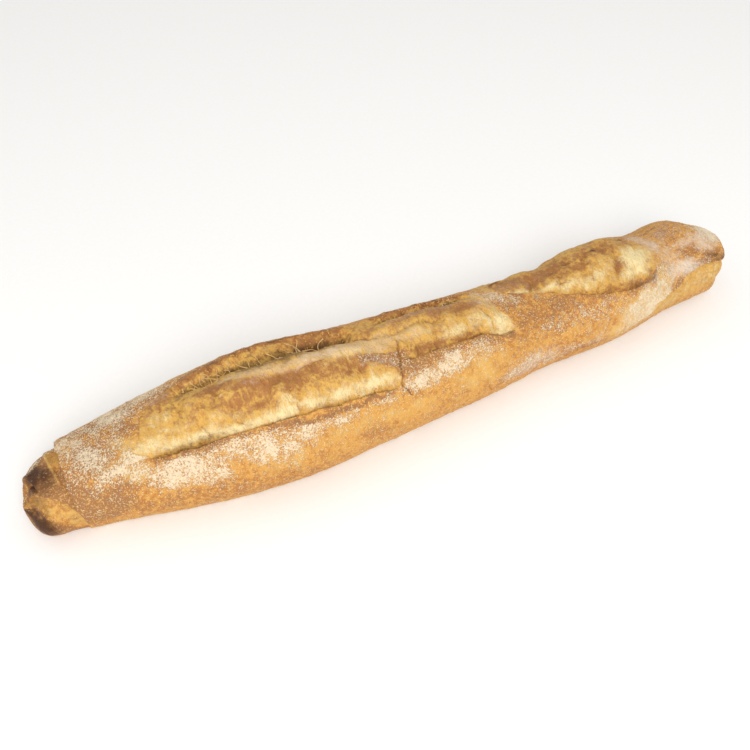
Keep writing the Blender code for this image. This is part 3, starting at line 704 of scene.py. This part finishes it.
def paint_lips(coat, cuts, x, clot):
    """The bare brown lip of the third cut, and the rolled lip of the first with its toasted rim."""
    inside, shown = cuts["third"]["inside"], cuts["third"]["shown"]
    lip = step(0.0, 0.6, inside) * step(6.5, 3.5, inside) * step(108, 122, x) * shown
    coat.raise_to("crest", (0.5 + 0.4 * clot) * lip)
    inside, shown = cuts["first"]["inside"], cuts["first"]["shown"]
    low = -2.4 + 0.6 * clot - 1.2 * noise(9, 314, x)
    rolled = step(low - 0.5, low + 0.6, inside) * step(0.4, -0.4, inside)
    rolled = rolled * step(-98, -84, x) * step(-33, -42, x) * shown
    coat.thin("toast", rolled)
    coat.raise_to("toast", (0.45 + 0.5 * clot) * rolled)
    rim = bell(inside, low - 0.4, 1.3) * step(-100, -88, x) * step(-32, -44, x) * shown
    coat.raise_to("toast", 1.4 * rim)
    coat.raise_to("scorch_and_shade", 0.22 * rim)
    coat.thin("flour", 0.9 * rim)
    coat.thin("flour", 0.9 * rolled)


def paint_nub(coat, ends, x, angle, fine, clot):
    """Left end: two dark lobes, a golden split between them with painted shade where it is set in, a strip
    against the rim dulled with painted shade, and a pale golden line along the fold that is a painted
    highlight.
    """
    past, split, fold = ends["past"], ends["split"], ends["fold"]
    strip = past * step(-1.5, 0.5, x - fold) * step(98, 78, angle) * step(42, 52, angle)
    lobes = past * (1 - split) * (1 - strip)
    # painted highlight: a pale golden line with less toast along the ridge of the fold
    edge = past * bell(x, fold, 0.8) * step(126, 112, angle) * step(48, 62, angle)
    coat.raise_to("toast", 0.85 * lobes)
    coat.thin("toast", 0.6 * np.maximum(split, 0.8 * strip))
    coat["toast"] += 0.35 * split * step(-206, -216, x)
    coat.thin("toast", 0.6 * edge)
    coat.raise_to("gold", (0.42 + 0.3 * clot + 0.3 * fine) * split)
    coat.raise_to("gold", np.maximum(0.35 * strip, 0.8 * edge))
    # painted shade in the set-in split and in the strip under the overhanging rim
    coat.raise_to("shade", np.maximum(0.55 * strip, (0.3 + 0.35 * step(-212, -222, x)) * split))
    coat.thin("scorch_and_shade", 0.85 * np.maximum(split, 0.9 * strip))
    coat.thin("dust", lobes)
    coat.thin("flour", 0.8 * lobes * step(60, 74, angle))
    coat.thin("flour", past * step(52, 70, angle + 6 * clot))
    coat.thin("flour", split)


def paint_burst(coat, ends, x, angle, fine, wide):
    """Right end: golden crumb on the burst side, under the overhanging crust."""
    below = ends["below"]
    under = ends["under"] * step(152, 168, x) * step(-0.4, 0.4, below)
    coat.raise_to("bared", under * step(206, 196, angle))
    for name in ("crest", "fresh", "dust"):
        coat.thin(name, under)
    coat.raise_to("fresh", under * (0.24 + 0.2 * wide + 0.1 * fine))
    coat.thin("flour", 0.9 * under * step(200, 185, angle))
    coat.raise_to("toast", 0.9 * bell(below, -1.5, 2.5) * step(160, 178, x))
    coat.raise_to("scorch_and_shade", 0.5 * bell(below, -0.8, 1.2) * step(200, 212, x))


def paint_cracks(coat, lay, x):
    """Cracks browned and darkened with painted shade, the browned edge of the first two cuts' crumb, painted
    shade in the seam's groove and the tongue of crust.
    """
    bared = coat["bared"]
    dark = np.maximum(lay["dark"], 2.2 * bared * (1 - bared) * (x < 30))
    coat.raise_to("crest", dark)
    coat.raise_to("toast", np.maximum(dark, 0.85 * lay["tongue"]))
    coat.raise_to("scorch_and_shade", 0.55 * dark ** 2)
    # painted shade in the seam's groove
    coat.raise_to("shade", 0.55 * lay["seam"])
    coat.raise_to("flour", 0.45 * lay["tongue"])
    for cover in (bared, 0.5 * coat["scorch_and_shade"], dark):
        coat.thin("flour", cover)


def paint(x, angle, height, lay):
    """How much of each finish lies at every point of the crust, from 0 to 1."""
    v = angle * ROUND_MM
    fine, clot, wide = noise(2.4, 311, x, v), noise(5.0, 313, x, v), rough(22, 312, x, v)
    coat = first_coat(x, angle, height, lay["bared"], fine, clot, wide)
    for name, cut in lay["cuts"].items():           # the cut's own values, and where each point lies in it
        paint_cut(coat, {**CUTS[name], **cut}, fine, clot)
    paint_lips(coat, lay["cuts"], x, clot)
    paint_nub(coat, lay["ends"], x, angle, fine, clot)
    paint_burst(coat, lay["ends"], x, angle, fine, wide)
    paint_cracks(coat, lay, x)
    coat["clumps"] = np.clip(coat["flour"], 0, 1) ** 1.5 * step(1.8, 2.6, height)
    coat["crumbs"] = coat["crumbs"] * step(-0.3, 0.4, clot + fine)
    return coat


# ---- strands ----
def strand_runs(count, seed, relief):
    """Runs of points for strands that span the furrows, each with its relative width."""
    rng = np.random.default_rng(seed)
    share = np.array([s[3] for s in STRAND_STRETCHES], float)
    t = np.linspace(0, 1, 9)
    arch = np.sin(np.pi * t)
    for _ in range(count):
        name, low, high, _ = STRAND_STRETCHES[rng.choice(len(share), p=share / share.sum())]
        x0 = rng.uniform(low, high)
        x1 = x0 + rng.normal(2, 5)
        far, furrow, ridge = (curve(CUTS[name][k], np.array(x0)) for k in ("far", "furrow", "ridge"))
        start = mix((far, furrow), rng.uniform(0.2, 0.9))
        end = mix((furrow, ridge), rng.uniform(0.0, 0.45))
        ends, _ = loaf_surface(np.array([x0, x1]), np.array([start, end]), relief)
        bow = rng.normal((0, 0, -0.5), (1.6, 0.9, 0.6)) * arch[:, None]
        wave = rng.normal(0, 0.6, 3) * (np.sin(2 * np.pi * t + rng.uniform(0, 6)) * arch)[:, None]
        run = mix(ends, t[:, None]) + bow + wave - [0, 0, STRAND_SUNK]
        yield run, rng.uniform(0.4, 1.25) * (1 + 1.2 * np.abs(2 * t - 1) ** 2)


# ---- materials ----
def add(tree, kind, settings=None, inputs=None):
    """Adds a node.  Sockets, and nodes for their first output, are linked; any other value is set."""
    node = tree.nodes.new(kind)
    for name, value in (settings or {}).items():
        setattr(node, name, value)
    for key, value in (inputs or {}).items():
        if isinstance(value, bpy.types.Node):
            value = value.outputs[0]
        if isinstance(value, bpy.types.NodeSocket):
            tree.links.new(value, node.inputs[key])
        else:
            node.inputs[key].default_value = value
    return node


def per(mm):
    """Noise scale whose features are about this many millimetres."""
    return 1000.0 / mm


def new_material(name, shader_inputs):
    """A Principled material; shader_inputs works out its inputs from its empty node tree."""
    material = bpy.data.materials.new(name)
    material.use_nodes = True
    t = material.node_tree
    t.nodes.clear()
    shader = add(t, "ShaderNodeBsdfPrincipled", {}, shader_inputs(t))
    add(t, "ShaderNodeOutputMaterial", {}, {"Surface": shader})
    return material


# Layers of the loaf's finish: tone, the value that brings it out, the noises that break it up with their
# strengths, the values where it starts and where it is full, and how much it then covers.
CRUST_LAYERS = (
    ("deep_crust", "mottle", (("toast", 0.22),), 0.31, 0.55, 1.0),
    ("gold", "gold", (("blotch", 1.2), ("mottle", 0.8)), 0.1, 0.9, 1.0),
    ("toast", "toast", (("mottle", 1.1), ("blotch", 0.9)), 0.22, 0.98, 1.0),
    ("gold", "grain", (("clot", 0.7),), 0.53, 0.67, 0.7),
    # painted shade over the crust: the seam and the nub's set-in bands
    ("shade", "shade", (("mottle", 0.6),), 0.1, 1.0, 0.8))
CRUMB_LAYERS = (
    ("deep_crust", "streak", (("mottle", 0.8),), 0.42, 0.72, 0.75),
    ("fresh", "fresh", (("patch", 1.4), ("streak", 1.8), ("grain", 0.5)), 0.0, 1.10, 0.95),
    ("crest", "crest", (("patch", 1.3), ("mottle", 1.6), ("streak", 0.6), ("grain", 0.6)), 0.08, 0.98, 0.95),
    ("tan", "tan", (("mottle", 1.2), ("streak", 1.2), ("grain", 0.5)), 0.22, 1.02, 0.85),
    # painted shade over the crumb: furrows, pits and slits under the near lips
    ("shade", "shade", (("streak", 1.3), ("mottle", 0.8)), 0.25, 1.0, 0.88))
TOP_LAYERS = (
    # scorching, and painted shade in pits, cracks and the furrows' deepest holes
    ("char", "scorch_and_shade", (("mottle", 0.7),), 0.05, 0.95, 1.0),
    ("haze", "dust", (("clot", 0.8), ("blotch", 0.6), ("mottle", 0.6)), 0.18, 1.10, 0.72),
    ("flour", "floury", (("grain", 2.0), ("clot", 1.3), ("blotch", 1.2), ("mottle", 1.0)), 0.37, 1.08, 0.78))


def lay_over(t, tone, values, s, layers):
    """Lays each layer's tone over the last; gives the colour and the last layer's cover."""
    for name, value, breakers, low, high, most in layers:
        total, middle = values[value], 0.5 * sum(strength for _, strength in breakers)
        for other, strength in breakers:
            total = add(t, "ShaderNodeMath", {"operation": "MULTIPLY_ADD"},
                        {0: values[other], 1: strength, 2: total})
        cover = add(t, "ShaderNodeMapRange", {"interpolation_type": "SMOOTHSTEP"},
                    {"Value": total, "From Min": low + middle, "From Max": high + middle, "To Max": most})
        tone = add(t, "ShaderNodeMix", {"data_type": "RGBA"},
                   {0: cover, 6: tone, 7: getattr(s, name)}).outputs[2]
    return tone, cover


def baked_wheat_crust(s):
    """Baked wheat crust: dry, matt, mottled by heat, with torn crumb in the cuts, flour baked on, painted
    shade in the furrows, pits, slits, cracks and grooves, and a painted highlight along the nub's fold.
    """
    def inputs(t):
        place = add(t, "ShaderNodeTexCoord").outputs["Object"]
        sheet = add(t, "ShaderNodeTexCoord").outputs["UV"]
        tears = add(t, "ShaderNodeMapping", {},
                    {"Vector": sheet, "Rotation": (0, 0, -0.25), "Scale": (1.0, 0.55, 1.0)})
        values = {name: add(t, "ShaderNodeAttribute", {"attribute_name": name}).outputs["Fac"]
                  for name in FINISHES}
        # name, mapping, size of the features in millimetres, detail, roughness, distortion.  The grain is
        # coarser than real flour, so that it shows.
        for name, vector, mm, detail, roughness, warp in (
                ("blotch", place, 8, 3.0, 0.55, 0.0), ("mottle", place, 2.8, 4.0, 0.66, 0.0),
                ("clot", place, 1.7, 2.0, 0.6, 0.0), ("grain", place, 0.75, 1.0, 0.55, 0.0),
                ("patch", tears, 5.0, 4.0, 0.62, 1.5), ("streak", tears, 1.8, 3.0, 0.62, 0.8)):
            values[name] = add(t, "ShaderNodeTexNoise", {}, {
                "Vector": vector, "Scale": per(mm), "Detail": detail, "Roughness": roughness,
                "Distortion": warp})
        values["floury"] = add(t, "ShaderNodeMath", {"operation": "MULTIPLY_ADD"},
                               {0: values["bared"], 1: -0.5, 2: values["flour"]})
        skin, _ = lay_over(t, s.crust, values, s, CRUST_LAYERS)
        crumb, _ = lay_over(t, s.crumb, values, s, CRUMB_LAYERS)
        base = add(t, "ShaderNodeMix", {"data_type": "RGBA"},
                   {0: values["bared"], 6: skin, 7: crumb}).outputs[2]
        base, cover = lay_over(t, base, values, s, TOP_LAYERS)
        # relief: grain on the crust, tears in the crumb, flour standing proud
        height = add(t, "ShaderNodeMix", {"data_type": "FLOAT"},
                     {0: values["bared"], 2: values["mottle"], 3: values["streak"]}).outputs[0]
        for more, strength in ((values["grain"], 0.35), (cover, 0.25)):
            height = add(t, "ShaderNodeMath", {"operation": "MULTIPLY_ADD"},
                         {0: more, 1: strength, 2: height})
        bump = add(t, "ShaderNodeBump", {}, {"Strength": 1.0, "Distance": 0.0013, "Height": height})
        dry = add(t, "ShaderNodeMapRange", {}, {"Value": cover, "To Min": 0.60, "To Max": 0.92})
        return {"Base Color": base, "Roughness": dry, "IOR": 1.3, "Normal": bump}
    return new_material("baked_wheat_crust", inputs)


def two_tones(name, one, two, mm, detail, roughness, share=(0.0, 1.0)):
    """A matt material that wanders between two tones, with features of this many millimetres."""
    def inputs(t):
        place = add(t, "ShaderNodeTexCoord").outputs["Object"]
        cloud = add(t, "ShaderNodeTexNoise", {}, {"Vector": place, "Scale": per(mm), "Detail": detail})
        fac = add(t, "ShaderNodeMapRange", {}, {"Value": cloud, "From Min": share[0], "From Max": share[1]})
        tone = add(t, "ShaderNodeMix", {"data_type": "RGBA"}, {0: fac, 6: one, 7: two}).outputs[2]
        return {"Base Color": tone, "Roughness": roughness}
    return new_material(name, inputs)


def torn_wheat_crumb(s):
    """Torn wheat crumb: soft golden bits with browned edges, a little glossier than the crust."""
    return two_tones("torn_wheat_crumb", s.crumb, s.deep_crust, 5, 3.0, 0.6, (0.35, 0.65))


def stretched_wheat_dough(s):
    """Stretched wheat dough: thin threads dried pale gold, a little glossier than the crust."""
    return two_tones("stretched_wheat_dough", s.tan, s.crumb, 5, 3.0, 0.6, (0.35, 0.65))


def wheat_flour(s):
    """Wheat flour in baked-on clumps: dry, chalky, warm white."""
    return two_tones("wheat_flour", s.flour, linear("#e6cfa6"), 7, 3.0, 0.95)


def matt_paper(s):
    """Matt paper sweep: even, very pale, faintly fibrous."""
    return two_tones("matt_paper", s.floor, linear("#f8f6f3"), 3, 2.0, 0.9)


# ---- geometry node trees ----
def new_tree(name, numbers):
    """A geometry node tree that takes a mesh and these named numbers; gives the tree and what goes in."""
    t = bpy.data.node_groups.new(name, "GeometryNodeTree")
    for label, kind in {"Geometry": "NodeSocketGeometry", **numbers}.items():
        t.interface.new_socket(label, in_out="INPUT", socket_type=kind)
    t.interface.new_socket("Geometry", in_out="OUTPUT", socket_type="NodeSocketGeometry")
    return t, add(t, "NodeGroupInput").outputs


def end_tree(t, geometry, material):
    """Ends a tree with its instances made real and one material."""
    real = add(t, "GeometryNodeRealizeInstances", {}, {"Geometry": geometry})
    done = add(t, "GeometryNodeSetMaterial", {}, {"Geometry": real, "Material": material})
    add(t, "NodeGroupOutput", {}, {"Geometry": done})


def scatter_tree(name, attribute, material, least, most, segments, rings):
    """Scatters a small closed shape over a mesh, thick where the attribute is high."""
    t, given = new_tree("scatter_" + name, {"Size": "NodeSocketFloat", "Per area": "NodeSocketFloat",
                                            "Seed": "NodeSocketInt"})
    thick = add(t, "GeometryNodeInputNamedAttribute", {"data_type": "FLOAT"},
                {"Name": attribute}).outputs["Attribute"]
    density = add(t, "ShaderNodeMath", {"operation": "MULTIPLY"}, {0: thick, 1: given["Per area"]})
    points = add(t, "GeometryNodeDistributePointsOnFaces", {"distribute_method": "RANDOM"},
                 {"Mesh": given["Geometry"], "Density": density, "Seed": given["Seed"]})
    radius = add(t, "ShaderNodeMath", {"operation": "MULTIPLY"}, {0: given["Size"], 1: 0.5})
    bit = add(t, "GeometryNodeMeshUVSphere", {}, {"Segments": segments, "Rings": rings, "Radius": radius})
    turn, scale = (add(t, "FunctionNodeRandomValue", {"data_type": "FLOAT_VECTOR"},
                       {"Min": low, "Max": high, "Seed": seed})
                   for low, high, seed in (((0.0, 0.0, 0.0), (6.28, 6.28, 6.28), 3), (least, most, 4)))
    placed = add(t, "GeometryNodeInstanceOnPoints", {},
                 {"Points": points, "Instance": bit, "Rotation": turn, "Scale": scale})
    end_tree(t, placed, material)
    return t


def strand_tree(material):
    """Turns each run of edges into a thin tube with its own width."""
    t, given = new_tree("thicken_strands", {"Width": "NodeSocketFloat"})
    relative = add(t, "GeometryNodeInputNamedAttribute", {"data_type": "FLOAT"},
                   {"Name": "relative_width"}).outputs["Attribute"]
    half = add(t, "ShaderNodeMath", {"operation": "MULTIPLY"}, {0: given["Width"], 1: 0.5})
    thickness = add(t, "ShaderNodeMath", {"operation": "MULTIPLY"}, {0: relative, 1: half})
    line = add(t, "GeometryNodeMeshToCurve", {}, {"Mesh": given["Geometry"]})
    section = add(t, "GeometryNodeCurvePrimitiveCircle", {}, {"Resolution": 6, "Radius": 1.0})
    tube = add(t, "GeometryNodeCurveToMesh", {}, {"Curve": line, "Profile Curve": section, "Scale": thickness,
                                                  "Fill Caps": True})
    end_tree(t, tube, material)
    return t


# ---- pieces ----
def link(name, data):
    """Adds an object to the scene."""
    piece = bpy.data.objects.new(name, data)
    bpy.context.scene.collection.objects.link(piece)
    return piece


def keep(piece):
    """Says what every piece of the loaf rides on."""
    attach(piece, "root")


def grow(name, mesh, tree, values):
    """Runs a geometry node tree on a mesh and keeps the result as a plain piece."""
    base = link(name + "_base", mesh)
    modifier = base.modifiers.new(name, "NODES")
    modifier.node_group = tree
    names = {item.name: item.identifier for item in tree.interface.items_tree if item.in_out == "INPUT"}
    for label, value in values.items():
        modifier[names[label]] = value
    graph = bpy.context.evaluated_depsgraph_get()
    result = bpy.data.meshes.new_from_object(base.evaluated_get(graph), preserve_all_data_layers=False,
                                             depsgraph=graph)
    bpy.data.objects.remove(base)
    if not result.polygons:
        raise RuntimeError(name + " came out empty")
    result.name = name
    keep(link(name, result))


def scatter(name, attribute, material, least, most, segments, rings, size, s):
    """Scatters small bits over the loaf, stretched from least to most, thick where the attribute is high."""
    if "loaf" not in bpy.data.objects:
        raise RuntimeError("add the loaf first")
    tree = scatter_tree(name, attribute, material, least, most, segments, rings)
    grow(name, bpy.data.objects["loaf"].data.copy(), tree,
         {"Size": size, "Per area": s.per_area, "Seed": s.seed})


def centre_shift():
    """What to take off the loaf's own coordinates: the frame has the middle of the solid's width at y = 0."""
    points, _ = loaf_surface(*grid(SOLID_RINGS, SOLID_ROUND))
    sideways = points[..., 1]
    return np.array([0, (sideways.min() + sideways.max()) / 2, 0])


def crust_map(x, angles):
    """Flat map of the crust in metres, along the loaf and round it, for every corner of the loaf's faces."""
    round_it = np.concatenate([angles, angles[:, :1] + 360], 1) * MAP_ROUND_MM * MM
    sheet = np.stack([np.broadcast_to(x[:, :1] * MM, round_it.shape), round_it], -1)
    sides = np.stack([sheet[:-1, :-1], sheet[1:, :-1], sheet[1:, 1:], sheet[:-1, 1:]], 2)
    caps = [np.stack([(ring[:-1] + ring[1:]) / 2, one, two], 1)
            for ring, one, two in ((sheet[0], sheet[0, :-1], sheet[0, 1:]),
                                   (sheet[-1], sheet[-1, 1:], sheet[-1, :-1]))]
    return np.concatenate([part.reshape(-1, 2) for part in (sides, *caps)])


class BREAD_OT_loaf(bpy.types.Operator):
    """Add the loaf with its cuts, folds and baked-on finish"""
    bl_idname = "bread.loaf"
    bl_label = "Loaf"

    def execute(self, context):
        s = context.scene.loaf_settings
        x, angles = grid(s.rings, FINE_ROUND)
        points, lay = loaf_surface(x, angles, s.relief)
        finish = paint(x, angles, points[..., 2], lay)
        tips = np.array([plain_loaf(np.array(v), np.array(90.0)) for v in (-HALF_LENGTH, HALF_LENGTH)])
        everything = (np.concatenate([points.reshape(-1, 3), tips]) - centre_shift()) * MM
        index = np.arange(x.size).reshape(x.shape)
        after = np.roll(index, -1, axis=1)
        quads = np.stack([index[:-1], index[1:], after[1:], after[:-1]], -1).reshape(-1, 4)
        left = [(x.size, a, b) for a, b in zip(index[0], after[0])]
        right = [(x.size + 1, b, a) for a, b in zip(index[-1], after[-1])]
        mesh = bpy.data.meshes.new("loaf")
        mesh.from_pydata(everything.tolist(), [], quads.tolist() + left + right)
        flat_map = mesh.uv_layers.new(name="crust").data
        flat_map.foreach_set("uv", crust_map(x, angles).astype(np.float32).ravel())
        for name in FINISHES + ("clumps", "crumbs"):
            amount = np.clip(finish[name], 0, 1)
            full = np.concatenate([amount.ravel(), [finish[name][0].mean(), finish[name][-1].mean()]])
            mesh.attributes.new(name, "FLOAT", "POINT").data.foreach_set("value", full.astype(np.float32))
        mesh.validate()
        mesh.shade_smooth()
        mesh.materials.append(baked_wheat_crust(s))
        piece = link("loaf", mesh)
        keep(piece)
        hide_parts("baguette")
        return {"FINISHED"}


class BREAD_OT_flour(bpy.types.Operator):
    """Scatter clumps of flour over the floury parts of the crust"""
    bl_idname = "bread.flour"
    bl_label = "Flour clumps"

    def execute(self, context):
        s, loaf = context.scene.flour_settings, context.scene.loaf_settings
        scatter("flour", "clumps", wheat_flour(loaf), (0.55, 0.55, 0.35), (1.35, 1.35, 0.9), 4, 2, s.clump, s)
        return {"FINISHED"}


class BREAD_OT_crumbs(bpy.types.Operator):
    """Scatter small torn crumbs over the far walls and lips of the cuts"""
    bl_idname = "bread.crumbs"
    bl_label = "Torn crumbs"

    def execute(self, context):
        s, loaf = context.scene.torn_settings, context.scene.loaf_settings
        scatter("crumbs", "crumbs", torn_wheat_crumb(loaf), (0.4, 0.4, 0.3), (1.5, 1.2, 0.8), 6, 4,
                s.crumb, s)
        return {"FINISHED"}


class BREAD_OT_strands(bpy.types.Operator):
    """Add strands of stretched dough across the furrows"""
    bl_idname = "bread.strands"
    bl_label = "Strands"

    def execute(self, context):
        s, loaf = context.scene.torn_settings, context.scene.loaf_settings
        points, edges, widths = [], [], []
        shift = centre_shift()
        for run, relative in strand_runs(s.strands, s.seed, loaf.relief):
            edges += [(len(points) + i, len(points) + i + 1) for i in range(len(run) - 1)]
            points += ((run - shift) * MM).tolist()
            widths += relative.tolist()
        mesh = bpy.data.meshes.new("strands")
        mesh.from_pydata(points, edges, [])
        mesh.attributes.new("relative_width", "FLOAT", "POINT").data.foreach_set("value", widths)
        grow("strands", mesh, strand_tree(stretched_wheat_dough(loaf)), {"Width": s.strand})
        return {"FINISHED"}


class BREAD_OT_stage(bpy.types.Operator):
    """Add the floor, the soft light and the camera"""
    bl_idname = "bread.stage"
    bl_label = "Stage"

    def execute(self, context):
        s, scene = context.scene.stage_settings, context.scene
        mesh = bpy.data.meshes.new("floor")
        mesh.from_pydata([(-5, -5, 0), (5, -5, 0), (5, 5, 0), (-5, 5, 0)], [], [(0, 1, 2, 3)])
        mesh.materials.append(matt_paper(s))
        link("floor", mesh)
        scene.world = bpy.data.worlds.new("surround")
        scene.world.use_nodes = True
        surround = scene.world.node_tree.nodes["Background"].inputs
        surround["Color"].default_value = linear("#ffffff")
        surround["Strength"].default_value = s.sky
        light = bpy.data.lights.new("key", "AREA")
        light.energy, light.size = s.key, 0.8
        lamp = link("key", light)
        lamp.location = (-0.35, -1.0, 0.95)
        lamp.rotation_euler = (Vector((0, 0, 0.03)) - lamp.location).to_track_quat("-Z", "Y").to_euler()
        # the camera looks down on the loaf's middle from its near left side
        turn, rise = np.radians(-28.0), np.radians(45.0)
        back = Vector((np.sin(turn) * np.cos(rise), -np.cos(turn) * np.cos(rise), np.sin(rise)))
        lens = bpy.data.cameras.new("camera")
        lens.lens, lens.sensor_width, lens.clip_start = s.lens, 36.0, 0.01
        camera = link("camera", lens)
        camera.location = Vector((-0.0284, -0.0037, 0.03)) + back * s.distance
        camera.rotation_euler = (-back).to_track_quat("-Z", "Y").to_euler()
        scene.camera = camera
        scene.view_settings.view_transform = "Standard"
        return {"FINISHED"}


class BREAD_PT_panel(bpy.types.Panel):
    """Lists the loaf's pieces and settings"""
    bl_label = "Baguette"
    bl_idname = "BREAD_PT_panel"
    bl_space_type = "VIEW_3D"
    bl_region_type = "UI"
    bl_category = "Bread"

    def draw(self, context):
        for group, *operators in (("loaf_settings", "bread.loaf"),
                                  ("torn_settings", "bread.strands", "bread.crumbs"),
                                  ("flour_settings", "bread.flour"), ("stage_settings", "bread.stage")):
            box, settings = self.layout.box(), getattr(context.scene, group)
            for name in settings.bl_rna.properties.keys():
                if name not in ("rna_type", "name"):
                    box.prop(settings, name)
            for operator in operators:
                box.operator(operator)


GROUPS = {"loaf_settings": LoafSettings, "flour_settings": FlourSettings, "torn_settings": TornSettings,
          "stage_settings": StageSettings}
CLASSES = (*GROUPS.values(), BREAD_OT_loaf, BREAD_OT_strands, BREAD_OT_crumbs, BREAD_OT_flour, BREAD_OT_stage,
           BREAD_PT_panel)


def register():
    for cls in CLASSES:
        bpy.utils.register_class(cls)
    for name, group in GROUPS.items():
        setattr(bpy.types.Scene, name, PointerProperty(type=group))


def unregister():
    for name in GROUPS:
        delattr(bpy.types.Scene, name)
    for cls in reversed(CLASSES):
        bpy.utils.unregister_class(cls)


def main():
    register()
    bpy.ops.bread.stage()
    bpy.ops.bread.loaf()
    bpy.ops.bread.strands()
    bpy.ops.bread.crumbs()
    bpy.ops.bread.flour()


if __name__ == "__main__":
    main()
